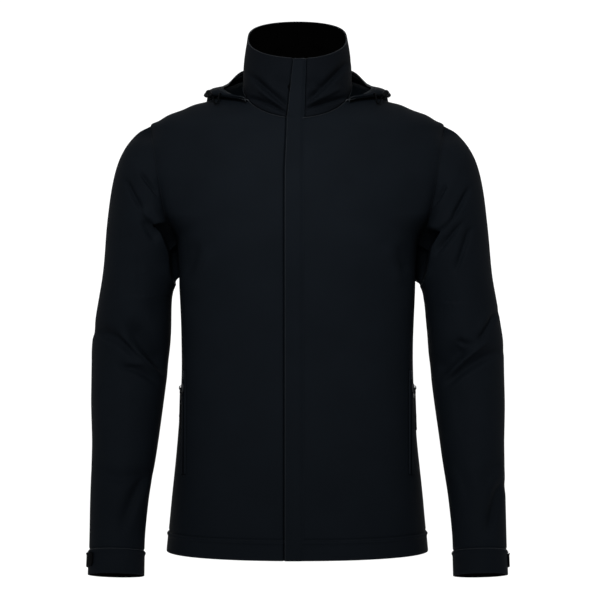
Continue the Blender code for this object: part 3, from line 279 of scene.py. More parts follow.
# Creases by piece and face, in millimetres: three points along the middle of each, its width and its depth,
# which is below zero for a trough. Those in front are placed as the camera sees them in the middle line's
# plane.
Crease = namedtuple("Crease", "x1 z1 x2 z2 x3 z3 width depth")
CREASES = {
    ("sleeve_right", FRONT): [
        Crease(-239, -106, -225, -124, -206, -148, 2.8, -4.2),
        Crease(-260, -114, -247, -143, -228, -174, 3.4, -5.4),
        Crease(-235, -157, -220, -178, -195, -194, 6.0, 5.0),
        Crease(-234, -178, -222, -196, -208, -216, 8.0, -5.5),
        Crease(-215, -188, -202, -191, -190, -194, 3.0, -5.0),
        Crease(-278, -342, -240, -378, -196, -424, 3.4, 5.2),
        Crease(-262, -328, -227, -371, -190, -414, 11.0, -12.0),
        Crease(-322, -346, -272, -360, -232, -394, 8.0, -9.0),
        Crease(-265, -397, -246, -396, -226, -399, 3.5, 2.8),
        Crease(-276, -404, -240, -406, -198, -436, 5.5, -6.5),
        Crease(-310, -545, -266, -568, -220, -548, 8.0, -5.5),
        Crease(-216, -552, -240, -592, -268, -656, 8.0, -8.0),
        Crease(-262, -225, -260, -265, -256, -305, 9.0, -1.4),
        Crease(-236, -228, -238, -262, -236, -300, 8.0, -1.4),
        Crease(-292, -415, -286, -455, -284, -505, 10.0, -1.6),
        Crease(-252, -420, -254, -460, -252, -510, 11.0, 1.4),
        Crease(-200, -215, -206, -280, -203, -345, 24, -4.5),
    ],
    ("sleeve_right", BACK): [
        Crease(-298, -356, -262, -384, -215, -398, 7.0, -4.0),
        Crease(-292, -368, -256, -396, -214, -412, 5.0, 2.6),
        Crease(-300, -398, -266, -412, -222, -420, 6.0, -3.2),
        Crease(-268, -150, -240, -190, -205, -222, 7.0, -3.6),
        Crease(-292, -560, -266, -584, -230, -590, 7.0, -2.8),
    ],
    ("sleeve_left", FRONT): [
        Crease(226, -124, 216, -141, 202, -162, 2.8, -4.2),
        Crease(262, -124, 246, -157, 224, -190, 3.4, -6.0),
        Crease(192, -196, 216, -187, 242, -161, 6.0, 5.0),
        Crease(250, -178, 226, -209, 202, -236, 5.0, -6.4),
        Crease(249, -170, 233, -194, 214, -211, 5.0, 2.8),
        Crease(263, -184, 251, -222, 234, -268, 4.0, -5.8),
        Crease(213, -198, 201, -197, 189, -196, 3.0, -5.0),
        Crease(216, -425, 250, -391, 292, -358, 3.4, 5.2),
        Crease(216, -434, 259, -400, 324, -370, 7.0, -9.5),
        Crease(198, -420, 230, -390, 260, -368, 11.0, -11.0),
        Crease(237, -358, 250, -366, 268, -368, 4.0, -4.5),
        Crease(271, -368, 287, -340, 306, -310, 4.0, -6.0),
        Crease(269, -358, 280, -338, 290, -318, 5.0, 2.2),
        Crease(309, -542, 292, -560, 277, -584, 8.0, -4.2),
        Crease(313, -566, 299, -606, 285, -660, 6.0, -8.0),
        Crease(240, -425, 244, -470, 250, -515, 10.0, -1.6),
        Crease(286, -410, 284, -455, 280, -500, 11.0, 1.4),
        Crease(234, -545, 248, -570, 256, -610, 8.0, -2.0),
        Crease(202, -222, 208, -285, 206, -345, 22, -3.5),
    ],
    ("sleeve_left", BACK): [
        Crease(298, -352, 262, -380, 216, -396, 7.0, -4.0),
        Crease(290, -366, 256, -394, 216, -410, 5.0, 2.6),
        Crease(296, -398, 262, -412, 224, -424, 6.0, -3.2),
        Crease(266, -148, 238, -192, 206, -220, 7.0, -3.6),
        Crease(290, -552, 262, -580, 232, -588, 7.0, -2.8),
    ],
    ("front_right", FRONT): [
        Crease(-126, -212, -144, -262, -158, -306, 13, 3.6),
        Crease(-148, -210, -160, -240, -168, -272, 8, -2.4),
        Crease(-204, -206, -178, -236, -140, -262, 28, -5.5),
        Crease(-206, -150, -172, -146, -110, -140, 20, 1.0),
    ],
    ("front_left", FRONT): [
        Crease(128, -212, 146, -248, 158, -286, 12, 3.4),
        Crease(150, -212, 160, -240, 166, -266, 8, -2.4),
        Crease(204, -212, 176, -242, 136, -266, 28, -5.5),
        Crease(206, -154, 172, -150, 110, -146, 20, 1.0),
    ],
    ("back", BACK): [
        Crease(-165, -205, -120, -250, -60, -285, 13, -2.4),
        Crease(165, -208, 125, -248, 66, -292, 13, -2.4),
        Crease(-158, -400, -80, -418, 20, -404, 14, -2.6),
        Crease(162, -430, 90, -446, -30, -440, 13, -2.2),
        Crease(-120, -470, -60, -484, 0, -478, 11, -1.4),
        Crease(-178, -120, -140, -150, -100, -160, 10, -1.8),
        Crease(178, -124, 142, -152, 98, -166, 10, -1.8),
    ],
    ("collar", FRONT): [
        Crease(-78, 44, -43, 12, -4, -20, 3.8, -7.0),
        Crease(-80, 3, -42, -7, 0, -29, 3.0, -5.5),
        Crease(-66, 20, -40, 2, -14, -18, 4.0, 3.2),
        Crease(-46, 32, -24, 24, 2, 14, 8.0, -3.8),
        Crease(84, 64, 49, 28, 2, -14, 4.2, -7.5),
        Crease(82, 4, 40, -5, -6, -18, 3.2, -6.5),
        Crease(70, 20, 42, 6, 12, -10, 4.0, 3.2),
        Crease(2, 32, 22, 24, 46, 25, 6.0, -4.2),
    ],
    ("collar", BACK): [
        Crease(-60, 60, -40, 84, -12, 96, 7, -1.8),
        Crease(58, 76, 36, 92, 10, 100, 7, -1.8),
    ],
}
CREASE_TAPER, CREASE_SHOULDER, CREASE_STEPS = 0.32, 0.55, 20
CREASE_GENTLE = 1.9     # a crease is this much wider above its line than below it
# Share of a crease on cloth that faces sideways, and how fast it grows as the cloth turns to its face
CREASE_SIDEWAYS, CREASE_TURN = 0.30, 1.3
# Creases and waves die away over these distances: from a seam, the neck seam, the cuff and the collar's edges
SEAM_FADE, NECK_FADE, CUFF_FADE, COLLAR_FOOT_FADE, COLLAR_TOP_FADE = 0.010, 0.020, 0.030, 0.006, 0.012
# The deep fold under each arm: how far out the sleeve's inner side is held, as height and distance across,
# and where its slack cloth behind reaches in towards the body
ARMPIT_FOLD = {
    "sleeve_right": [
        (-0.285, 0.178), (-0.265, 0.1885), (-0.230, 0.1905), (-0.202, 0.201), (-0.189, 0.212),
        (-0.183, 0.178),
    ],
    "sleeve_left": [
        (-0.292, 0.178), (-0.2715, 0.1885), (-0.258, 0.192), (-0.2225, 0.1975), (-0.199, 0.2105),
        (-0.193, 0.178),
    ],
}
ARMPIT_FADE = 0.014
FOLD_FRONT, FOLD_SOFT = 0.010, 0.018
SLACK_X, SLACK_Y, SLACK_SOFT = 0.1770, 0.036, 0.017
SLEEVE_INNER = 0.215     # the sleeve's inner side is nearer than this
SLACK_BELOW, SLACK_FADE = {"sleeve_right": -0.2745, "sleeve_left": -0.2805}, 0.012
FLAP_SLOT, FLAP_SLOT_X, FLAP_SLOT_SOFT = 0.0034, -0.0188, 0.0015      # dip in the right front beside the flap
# Lines beside the flap on the collar: across at its foot and top, depth and softness
FLAP_LINES = [
    (FLAP_FREE_EDGE + FLAP_NECK - 0.0008, FLAP_TOP_FREE - 0.0008, 0.0036, 0.0014),
    (FLAP_SEWN_EDGE + 0.0004, FLAP_TOP_SEWN + 0.0004, 0.0026, 0.0010),
]

# Looks: woven cloth, with its thread's width, and grained thread, plastic and metal, with their grain's scale
Woven = namedtuple("Woven", "name color drift roughness specular thread strength")
WOVEN_LOOKS = {
    "shell": Woven("softshell", (0.0018, 0.0025, 0.0035), 0.07, 0.75, 0.012, 0.0009, 0.18),
    # Inner faces: dark cloth, set darker still as painted shade for the hollow inside the collar and the
    # cloth.
    "inside": Woven("softshell inside painted shade", (0.0003, 0.0003, 0.0003), 0.10, 0.90, 0.004, 0.0011, 0.20),
    # The collar is the shell painted darker: painted shade over the whole collar.
    "collar": Woven("collar cloth painted shade", (0.0015, 0.0020, 0.0028), 0.07, 0.75, 0.010, 0.0009, 0.18),
    # The hood's inner face: dark cloth, set darker as painted shade inside the laid-back hood.
    "lining": Woven("hood inside painted shade", (0.0003, 0.0006, 0.0009), 0.30, 0.85, 0.002, 0.0016, 0.40),
    # The edge look is the shell painted lighter: a painted highlight where rounded edges catch the light.
    "edge": Woven("softshell edge painted highlight", (0.0052, 0.0062, 0.0075), 0.07, 0.65, 0.030, 0.0009, 0.18),
    # The hood's rim is the shell painted much lighter: a painted highlight along its rounded edge.
    "rim": Woven("hood rim painted highlight", (0.0130, 0.0145, 0.0165), 0.07, 0.65, 0.030, 0.0009, 0.18),
    "strap": Woven("strap", (0.0007, 0.0008, 0.0010), 0.10, 0.80, 0.010, 0.0012, 0.25),
    "tape": Woven("zip tape", (0.0004, 0.0005, 0.0006), 0.08, 0.85, 0.006, 0.0008, 0.30),
}
Grained = namedtuple("Grained", "name color drift roughness specular scale strength metallic")
GRAINED_LOOKS = {
    "thread": Grained("thread", (0.0040, 0.0050, 0.0064), 0.15, 0.55, 0.030, 3000, 0.30, 0.0),
    "light thread": Grained("light thread", (0.0170, 0.0190, 0.0210), 0.15, 0.55, 0.060, 3000, 0.30, 0.0),
    "coil": Grained("coil", (0.0004, 0.0005, 0.0006), 0.10, 0.45, 0.010, 2500, 0.10, 0.0),
    "plastic": Grained("moulded", (0.0010, 0.0012, 0.0015), 0.12, 0.46, 0.015, 1800, 0.12, 0.0),
    "metal": Grained("coated metal", (0.0080, 0.0090, 0.0105), 0.20, 0.36, 0.20, 1400, 0.08, 0.5),
    "cord": Grained("cord", (0.0007, 0.0009, 0.0011), 0.20, 0.60, 0.008, 1500, 0.60, 0.0),
}
TINT_FROM, TINT_TO = 0.3, 0.7
CLOTH_PATCHES, GRAIN_PATCHES = 14.0, 6         # scale of a cloth's drift, and how much coarser than its grain
WAVE_NODE_PERIOD = 2 * math.pi / 20            # a wave pattern of scale 1 repeats at this length
CROSS_SHARE = 0.7                              # the cross threads are this much finer
TWILL_BEND, CROSS_BEND, CLOTH_GRAIN = 0.6, 0.4, 900.0
PATCH_DETAIL, CLOTH_DETAIL, GRAIN_DETAIL = 4.0, 3.0, 5.0
WEAVE_HEIGHT, GRAIN_HEIGHT = 0.0004, 0.0003

# Gentle waves all over the cloth
WAVE_SEED, WAVE_COUNT = 11, 14
WAVE_LENGTHS = (0.045, 0.150)
WAVE_STEEPNESS = 0.0030
WAVE_WAYS = np.array([1.0, 0.7, 0.6])    # the waves run more across than up


# Sections and lofts

def along_line(points):
    """Distance of each point of a line from its first point, measured along it."""
    steps = np.linalg.norm(np.diff(points, axis=0), axis=1)
    return np.concatenate([[0.0], np.cumsum(steps)])


def points_at(places, along, points):
    """Points of a line at these places; along gives the place of each of its own points."""
    return np.stack([np.interp(places, along, points[:, k]) for k in range(3)], axis=1)


def spaced(points, count, to_edge=False):
    """The same line again with evenly spaced points, or with its end points closer together for a panel."""
    along = along_line(points)
    at = np.linspace(0.0, along[-1], count)
    if to_edge:
        even = np.linspace(START_BAND, along[-1] - EDGE_BAND, count - len(START_STEPS) - len(EDGE_STEPS))
        at = np.concatenate([START_STEPS, even, along[-1] - EDGE_STEPS])
    return points_at(at, along, points)


def turns(count):
    """The angles of so many places evenly round a circle."""
    return np.arange(count) / count * 2 * math.pi


def signed_power(value, power):
    return np.sign(value) * np.abs(value) ** power


def body_line(row, facing, first_angle, last_angle, count):
    """Points of one section between two angles, which are measured round from the middle line."""
    y_mid = row.y_front if facing == FRONT else row.y_back
    z_mid = row.z_front if facing == FRONT else row.z_back
    edge_angle = math.asin((row.edge_x / row.half_width) ** (row.roundness / 2))
    angle = np.linspace(first_angle, last_angle, count)
    power = 2 / row.roundness
    x = row.half_width * signed_power(np.sin(angle), power)
    y = row.y_edge + (y_mid - row.y_edge) * np.clip(np.cos(angle), 0, 1) ** power
    lift = np.clip(np.cos(angle / edge_angle * math.pi / 2), 0, 1) ** row.z_ease
    z = row.z_edge + (z_mid - row.z_edge) * lift
    y = y + facing * SEAM_GAP / 2
    return np.stack([x, y, z], axis=1)


def angle_at(row, x):
    return math.copysign(math.asin((abs(x) / row.half_width) ** (row.roundness / 2)), x)


def body_section(row, facing, start_x, count):
    line = body_line(row, facing, angle_at(row, start_x), angle_at(row, row.edge_x), SECTION_POINTS)
    return spaced(line, count, to_edge=True)


def loft(sections, at):
    """A smooth surface through equal-length sections, at these section numbers and fractions of them.

    It doesn't swing past a section on the way to the next, so seams stay where the tables put them.
    """
    p = np.asarray(sections, float)
    steps = np.linalg.norm(np.diff(p, axis=0), axis=2).mean(axis=1)
    slopes = np.diff(p, axis=0) / steps[:, None, None]
    tangents = np.empty_like(p)
    before, after = steps[:-1, None, None], steps[1:, None, None]
    low, high = slopes[:-1], slopes[1:]
    first, second = 2 * after + before, after + 2 * before
    same_way = low * high > 0
    safe_low, safe_high = np.where(same_way, low, 1.0), np.where(same_way, high, 1.0)
    tangents[1:-1] = np.where(same_way, (first + second) / (first / safe_low + second / safe_high), 0.0)
    tangents[0] = slopes[0]
    tangents[-1] = slopes[-1]
    found = []
    for value in at:
        i = min(int(value), len(p) - 2)
        t, h = value - i, steps[i]
        found.append(
            (2 * t**3 - 3 * t**2 + 1) * p[i]
            + (t**3 - 2 * t**2 + t) * h * tangents[i]
            + (3 * t**2 - 2 * t**3) * p[i + 1]
            + (t**3 - t**2) * h * tangents[i + 1]
        )
    return np.array(found)


def smooth_line(points, count):
    """Evenly spaced points on a smooth line through these points."""
    dense = loft(np.asarray(points)[:, None, :], np.linspace(0, len(points) - 1, SMOOTH_POINTS))[:, 0]
    return spaced(dense, count)


def unit(vectors):
    return vectors / np.maximum(np.linalg.norm(vectors, axis=-1, keepdims=True), 1e-12)


def normals_of(grid, closed=False):
    """Unit normals of a grid of points, from the steps along its columns and rows."""
    if closed:
        across = np.roll(grid, -1, axis=1) - np.roll(grid, 1, axis=1)
    else:
        across = np.gradient(grid, axis=1)
    return unit(np.cross(across, np.gradient(grid, axis=0)))


def full_ring(grid, closed):
    """The grid with its first column again at the end, where it goes all the way round."""
    return np.concatenate([grid, grid[:, :1]], axis=1) if closed else grid


def mirrored(grid):
    """The same grid on the other side, still facing outwards."""
    return grid[:, ::-1] * np.array([-1, 1, 1])


def along_cloth(grid, axis):
    """Distance of each point from the grid's first line, measured along the cloth."""
    steps = np.linalg.norm(np.diff(grid, axis=axis), axis=2)
    zero = np.zeros_like(np.take(steps, [0], axis=axis))
    return np.concatenate([zero, np.cumsum(steps, axis=axis)], axis=axis)


def to_last(along, axis):
    """The same distances measured back from the last line."""
    return np.take(along, [-1], axis=axis) - along


def smoothstep(value):
    value = np.clip(value, 0, 1)
    return value * value * (3 - 2 * value)


def bump(value):
    return np.exp(-value * value)


def sample(grid, columns, rows):
    """Points of a grid at paired fractional column and row numbers; columns go round."""
    count = grid.shape[1]
    i, j = np.floor(columns).astype(int), np.clip(np.floor(rows).astype(int), 0, grid.shape[0] - 2)
    s, t = (columns - i)[..., None], (rows - j)[..., None]
    low = grid[j, i % count] * (1 - s) + grid[j, (i + 1) % count] * s
    high = grid[j + 1, i % count] * (1 - s) + grid[j + 1, (i + 1) % count] * s
    return low * (1 - t) + high * t


# Surfaces of the garment

def panel_lines():
    """Section numbers of the panels' mesh lines, closer together at the hem's edge and stitching."""
    below = np.linspace(0, ARMPIT_ROW, BODY_LINES + 1)
    armhole = np.linspace(ARMPIT_ROW, TIP_ROW, ARMHOLE_LINES + 1)
    shoulder = np.linspace(TIP_ROW, NECK_ROW, SHOULDER_LINES + 1)
    shoulder = np.concatenate([shoulder, NECK_ROW - NECK_STEPS])
    hem_row = HEM_UP / (BODY_ROWS[1].z_front - BODY_ROWS[0].z_front)
    hem = hem_row + HEM_LINES
    below = below[(below < hem[0] - HEM_LINES_CLEAR) | (below > hem[-1] + HEM_LINES_CLEAR)]
    return np.unique(np.concatenate([below, hem, armhole, shoulder]))


LINES = panel_lines()
FIRST_ARM_LINE = int(np.argmin(np.abs(LINES - ARMPIT_ROW)))
TIP_LINE = int(np.argmin(np.abs(LINES - TIP_ROW)))


def front_grid(start_x):
    """One front on the +X side, from the opening to its edge."""
    return loft([body_section(row, FRONT, start_x, FRONT_COLUMNS) for row in BODY_ROWS], LINES)


def back_half_grid():
    return loft([body_section(row, BACK, 0.0, BACK_HALF_COLUMNS) for row in BODY_ROWS], LINES)


def body_point(turn, row):
    """A point on the +X side of the body and the outward normal there; turn is a fold place's round."""
    facing = FRONT if turn <= 1 else BACK
    across = turn if turn <= 1 else 2 - turn
    steps = np.array([-PROBE_STEP, 0, PROBE_STEP])
    u = np.clip(across + steps, 0, 1) * PROBE_INSIDE
    v = np.clip(row + steps, 0, NECK_ROW)
    near = []
    for r in BODY_ROWS:
        line = body_line(r, facing, 0.0, angle_at(r, r.edge_x), PROBE_POINTS)
        near.append(spaced(line, PROBE_PARTS + 1)[np.round(u * PROBE_PARTS).astype(int)])
    near = loft(near, v)
    normal = unit(np.cross(near[1, 2] - near[1, 0], near[2, 1] - near[0, 1]))
    return near[1, 1], normal if facing == FRONT else -normal


def front_strip(xs, out):
    """Points of the fronts at fixed distances across, moved out, from the hem to the neck."""
    rows = [
        np.array([body_line(row, FRONT, angle_at(row, x), angle_at(row, x), 1)[0] for x in xs])
        for row in BODY_ROWS
    ]
    grid = loft(rows, LINES)
    return grid + normals_of(grid) * out[None, :, None]


def collar_point(base, height):
    """A point above a base point, at a fraction of the collar's height."""
    row = BODY_ROWS[NECK_ROW]
    middle = (row.y_front + row.y_back) / 2
    turn = math.atan2(base[0] / row.half_width, -(base[1] - middle) / (row.y_back - middle))
    ahead = math.cos(turn)
    ease = 1.0 if ahead > 0 else COLLAR_BACK_EASE
    top = np.array([
        COLLAR_TOP_HALF * math.sin(turn),
        COLLAR_TOP_Y - COLLAR_TOP_DEPTH * ahead,
        COLLAR_TOP_Z - COLLAR_TOP_RISE * math.copysign(abs(ahead) ** ease, ahead),
    ])
    lean = COLLAR_LEAN * height * math.exp(-((turn / COLLAR_LEAN_TURN) ** 2))
    out = COLLAR_BULGE * math.sin(math.pi * height)
    point = base + (top - base) * height
    point = point + np.array([math.sin(turn), -ahead, 0]) * out
    point[0] += lean
    return point


def collar_grid(left, back, right):
    base = np.concatenate([left[-1], back[-1][1:-1], right[-1]])
    even = np.linspace(COLLAR_EVEN_FROM, 1.0, COLLAR_LINES - len(COLLAR_FIRST))
    return np.array([[collar_point(b, h) for b in base] for h in np.concatenate([COLLAR_FIRST, even])])


def armhole_ring(front, back):
    """The armhole on the +X side, from the shoulder tip down the front to the armpit and up the back."""
    down = front[FIRST_ARM_LINE : TIP_LINE + 1, -1][::-1]
    up = back[FIRST_ARM_LINE : TIP_LINE + 1, -1]
    tip = (down[0] + up[-1]) / 2
    pit = (down[-1] + up[0]) / 2
    return np.concatenate([[tip], down[1:-1], [pit], up[1:-1]])


def sleeve_sections(ring):
    """Armhole ring and the table's rings, with points at matching places round the arm."""
    half = len(ring) // 2
    steps = np.linalg.norm(np.roll(ring, -1, axis=0) - ring, axis=1)
    along = np.concatenate([[0], np.cumsum(steps)])
    front = along[: half + 1] / along[half] * math.pi
    rest = math.pi + (along[half:-1] - along[half]) / (along[-1] - along[half]) * math.pi
    turn = np.concatenate([front[:-1], rest])
    sections = [ring]
    for r in SLEEVE_RINGS:
        tilt, pitch = math.radians(r.tilt), math.radians(r.pitch)
        outer = np.array([math.cos(tilt), 0, math.sin(tilt)]) * r.half_width
        ahead = np.array([0, -math.cos(pitch), math.sin(pitch)]) * r.half_depth
        middle = np.array([r.x, r.y, r.z])
        sections.append(middle + np.cos(turn)[:, None] * outer + np.sin(turn)[:, None] * ahead)
    sections = np.array(sections)
    sections[0] -= unit(sections[1] - sections[0]) * SLEEVE_TUCK
    return sections


def sleeve_lines():
    """Ring numbers of the sleeve's mesh lines, closer together at the armhole and at the cuff's stitching."""
    last = len(SLEEVE_RINGS)
    cuff_row = last - CUFF_UP / (SLEEVE_RINGS[-2].z - SLEEVE_RINGS[-1].z)
    upper = np.linspace(SLEEVE_EVEN_FROM, ELBOW_RING, UPPER_SLEEVE_LINES)
    even = np.concatenate([upper, np.linspace(ELBOW_RING, last, LOWER_SLEEVE_LINES)[1:]])
    even = even[np.abs(even - cuff_row) > CUFF_LINES_CLEAR]
    return np.unique(np.concatenate([SLEEVE_FIRST, even, cuff_row + CUFF_LINES]))


def sleeve_grid(ring, side):
    """Rows go from the cuff up to the armhole, so that the cloth faces outwards."""
    grid = loft(sleeve_sections(ring), sleeve_lines())[::-1][:, ::-1]
    if side < 0:
        grid = mirrored(grid)
    low = np.clip((LEAN_FROM - grid[:, :, 2]) / LEAN_OVER, 0, 1)
    grid[:, :, 0] += low * LOWER_LEAN
    if side < 0:
        from_middle = grid - grid.mean(axis=1, keepdims=True)
        grid[:, :, 0] += low * RIGHT_FULLER * from_middle[:, :, 0] / SLEEVE_HALF
    return grid


def hood_places(columns):
    """Rim points and fold places for each column of the +X half."""
    rim = [[r.neck_deg, r.x, r.y, r.z] for r in HOOD_RIM]
    fold = [[f.round, f.row, f.clearance, f.lift] for f in HOOD_FOLD]
    both = np.array([a + b for a, b in zip(rim, fold)])
    # One more station past the middle of the back: the other half's, whose degrees and round count on
    past = both[-2] * np.array([-1, -1, 1, 1, -1, 1, 1, 1]) + np.array([360, 0, 0, 0, 4, 0, 0, 0])
    stations = np.concatenate([both, [past]])[:, None, :]
    last = len(HOOD_RIM) - 1
    at = np.append(np.linspace(0, last, columns - 1), last)
    at[-2] = last - HOOD_LAST_STEP
    return loft(stations, at)[:, 0]


def hood_grid(columns, lines):
    """The +X half, from the front end of its seam to the middle of the back; rows go from seam to rim."""
    neck = BODY_ROWS[NECK_ROW]
    sections = []
    for neck_deg, x, y, z, turn, row, clearance, lift in hood_places(columns):
        angle = math.radians(neck_deg)
        facing = FRONT if neck_deg < 90 else BACK
        from_mid = angle if facing == FRONT else math.pi - angle
        base = body_line(neck, facing, from_mid, from_mid, 1)[0]
        outward = np.array([math.sin(angle), -math.cos(angle), 0])
        path = [base + outward * HOOD_SEAM_OUT + np.array([0, 0, HOOD_SEAM_UP])]
        start_turn = neck_deg / 90
        for part in HOOD_DOWN:
            point, normal = body_point(
                start_turn + (turn - start_turn) * part, NECK_ROW + (row - NECK_ROW) * part
            )
            path.append(point + normal * (HOOD_CLEAR + (clearance - HOOD_CLEAR) * part))
        edge = np.array([x, y, z])
        bottom = path[-1] + (path[-1] - path[-2]) * POUCH_TURN
        path.append(bottom + normal * lift)
        path.append(path[-1] + (edge - path[-1]) * POUCH_RISE + normal * lift)
        path.append(edge)
        sections.append(smooth_line(path, lines))
    return np.array(sections).transpose(1, 0, 2)


def eased(grid):
    """The cloth with shoulders lower at the tip and fuller beside it, and armholes filled out in front."""
    across = np.abs(grid[..., 0])
    rise = sum(up * MM * bump((across - at * MM) / (wide * MM)) for at, wide, up in SHOULDER_EASE)
    top = np.interp(across, *np.array(SHOULDER_TOP).T)
    near = smoothstep(1 - (top - grid[..., 2]) / SHOULDER_DEEP)
    height, middle, fill = np.array(VALLEY).T * MM
    beside = across - np.interp(grid[..., 2], height, middle)
    ahead = np.interp(grid[..., 2], height, fill) * bump(beside / VALLEY_SOFT)
    ahead = ahead * smoothstep(-grid[..., 1] / VALLEY_DEEP)
    return grid + np.stack([np.zeros(rise.shape), -ahead, rise * near], axis=-1)


# Creases, waves and seams, as distances that the cloth moves out

def seen(points):
    """Where points show in the middle line's plane, as the camera sees them: across and up."""
    nearer = CAMERA_FAR / (CAMERA_FAR + points[..., 1])
    x = CAMERA_X + (points[..., 0] - CAMERA_X) * nearer
    z = CAMERA_Z + (points[..., 2] - CAMERA_Z) * nearer
    return np.stack([x, z], axis=-1)


def crease_path(crease):
    """Points along a crease's curve, which passes through its three places."""
    start, middle, end = [np.array(p) * MM for p in (crease[0:2], crease[2:4], crease[4:6])]
    pull = 2 * middle - (start + end) / 2
    t = np.linspace(0, 1, CREASE_STEPS + 1)[:, None]
    return start * (1 - t) ** 2 + pull * 2 * t * (1 - t) + end * t**2


def beside_path(path, flat):
    """Each place's distance from a path, how far along the path it is, and whether it is above the path."""
    nearest, at = np.full(flat.shape[:-1], np.inf), np.zeros(flat.shape[:-1])
    above = np.zeros(flat.shape[:-1], bool)
    for k, (a, b) in enumerate(zip(path[:-1], path[1:])):
        way = b - a
        t = np.clip(((flat - a) @ way) / (way @ way), 0, 1)
        far = np.linalg.norm(flat - a - t[..., None] * way, axis=-1)
        over = (flat - a) @ np.array([-way[1], way[0]]) * math.copysign(1, way[0]) > 0
        closer = far < nearest
        nearest = np.where(closer, far, nearest)
        at = np.where(closer, (k + t) / CREASE_STEPS, at)
        above = np.where(closer, over, above)
    return nearest, at, above


def creases_out(piece, grid, normal):
    moved = np.zeros(grid.shape[:2])
    for face, flat in ((FRONT, seen(grid)), (BACK, grid[..., [0, 2]])):
        toward = np.clip(CREASE_SIDEWAYS + face * normal[:, :, 1] * CREASE_TURN, 0, 1)
        for crease in CREASES.get((piece, face), []):
            nearest, at, above = beside_path(crease_path(crease), flat)
            q = nearest / (crease.width * MM * np.where(above, CREASE_GENTLE, 1.0))
            shape = (1 - CREASE_SHOULDER * q * q) * bump(q)
            taper = smoothstep(np.minimum(at, 1 - at) / CREASE_TAPER)
            moved += crease.depth * MM * shape * taper * toward
    return moved


def waves_out(grid):
    """The same gentle waves for every piece, so that they carry on across seams."""
    draw = np.random.default_rng(WAVE_SEED)
    moved = np.zeros(grid.shape[:2])
    for _ in range(WAVE_COUNT):
        length = draw.uniform(*WAVE_LENGTHS)
        way = unit(draw.normal(size=3) * WAVE_WAYS)
        phase = draw.uniform(0, 2 * math.pi)
        height = WAVE_STEEPNESS * length / math.sqrt(WAVE_COUNT)
        moved += height * np.sin(grid @ way * 2 * math.pi / length + phase)
    return moved


def seam_out(distance):
    """A seam dips at the edge and puffs up a little beside it."""
    return SEAM_PUFF * bump((distance - PUFF_AT) / PUFF_SOFT) - SEAM_DIP * bump(distance / SEAM_SOFT)


def sewn_out(distance, up, step):
    """A sewn line along an edge: a groove, with the doubled cloth below it standing out."""
    past = distance - up
    band = step * (1 - smoothstep((past + HEM_STEP_RISE / 2) / HEM_STEP_RISE))
    return band + HEM_PUFF * bump((past + HEM_PUFF_DOWN) / HEM_PUFF_SOFT) - GROOVE * bump(past / GROOVE_SOFT)


def fade(distance, over=SEAM_FADE):
    return smoothstep(distance / over)


def dressed_panel(piece, grid, seam_first, seam_last):
    """A front or the back with its creases and waves, its seams at the first or last column, and its hem."""
    normal = normals_of(grid)
    across, up = along_cloth(grid, 1), along_cloth(grid, 0)
    moved = creases_out(piece, grid, normal) + waves_out(grid)
    for present, distance in ((seam_first, across), (seam_last, to_last(across, 1))):
        if present:
            moved = moved * fade(distance) + seam_out(distance)
    down = to_last(up, 0)
    moved = moved * fade(down, NECK_FADE) + NECK_LIP * bump(down / NECK_SOFT) + sewn_out(up, HEM_UP, HEM_STEP)
    return grid + normal * moved[..., None]


def dressed_sleeve(piece, grid):
    """A sleeve with its creases, waves, armhole seam and cuff; its first row is the cuff's edge."""
    normal = normals_of(grid, closed=True)
    up = along_cloth(grid, 0)
    down = to_last(up, 0)
    moved = (creases_out(piece, grid, normal) + waves_out(grid)) * fade(down) * fade(up, CUFF_FADE)
    moved += seam_out(down) + sewn_out(up, CUFF_UP, HEM_STEP)
    grid = grid + normal * moved[..., None]
    grid[:, :, 0] += armpit_shift(piece, grid, down)
    return grid


def armpit_shift(piece, grid, down):
    """How far across the sleeve's inner side moves to make the deep fold under the arm."""
    x, y, z = np.moveaxis(grid, -1, 0)
    side, out = np.sign(x), np.abs(x)
    heights, limits = np.array(ARMPIT_FOLD[piece]).T
    held = np.maximum(np.interp(z, heights, limits, left=0.0, right=0.0) - out, 0)
    held = held * smoothstep((FOLD_FRONT + FOLD_SOFT - y) / FOLD_SOFT)
    slack = np.maximum(out - SLACK_X, 0) * bump((y - SLACK_Y) / SLACK_SOFT) * (out < SLEEVE_INNER)
    slack = slack * smoothstep((z - SLACK_BELOW[piece]) / SLACK_FADE) * (z < heights[-1])
    return side * (held - slack) * fade(down, ARMPIT_FADE)


def dressed_collar(grid):
    """The collar with its creases and waves, tucked in at the neck seam and pressed in beside the flap."""
    normal = normals_of(grid)
    up = along_cloth(grid, 0)
    moved = creases_out("collar", grid, normal) + waves_out(grid)
    moved = moved * fade(up, COLLAR_FOOT_FADE) * fade(to_last(up, 0), COLLAR_TOP_FADE)
    moved -= NECK_TUCK * bump(up / NECK_SOFT)
    height = up / up[-1]
    on_front = grid[:, :, 1] < 0
    for edge, top, depth, soft in FLAP_LINES:
        moved -= depth * bump((grid[:, :, 0] - edge - (top - edge) * height) / soft) * on_front
    return grid + normal * moved[..., None]


# Meshes

def add_object(name, mesh, looks, body):
    obj = bpy.data.objects.new(name, mesh)
    for look in looks:
        mesh.materials.append(look)
    pieces.objects.link(obj)
    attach(obj, body)
    return obj


def mesh_of(name, points, faces, smooth=True):
    mesh = bpy.data.meshes.new(name)
    mesh.from_pydata(np.asarray(points).tolist(), [], faces)
    mesh.polygons.foreach_set("use_smooth", np.full(len(mesh.polygons), smooth))
    return mesh


def round_edge(outer, inner, way):
    """Lines of points round a free edge, from the outer line to the inner one; way points off the edge."""
    middle, half = (outer + inner) / 2, (outer - inner) / 2
    reach = np.linalg.norm(half, axis=-1, keepdims=True)
    angles = np.linspace(0, math.pi, ROUND_STEPS + 1)[1:-1]
    return [middle + half * math.cos(a) + way * reach * math.sin(a) for a in angles]


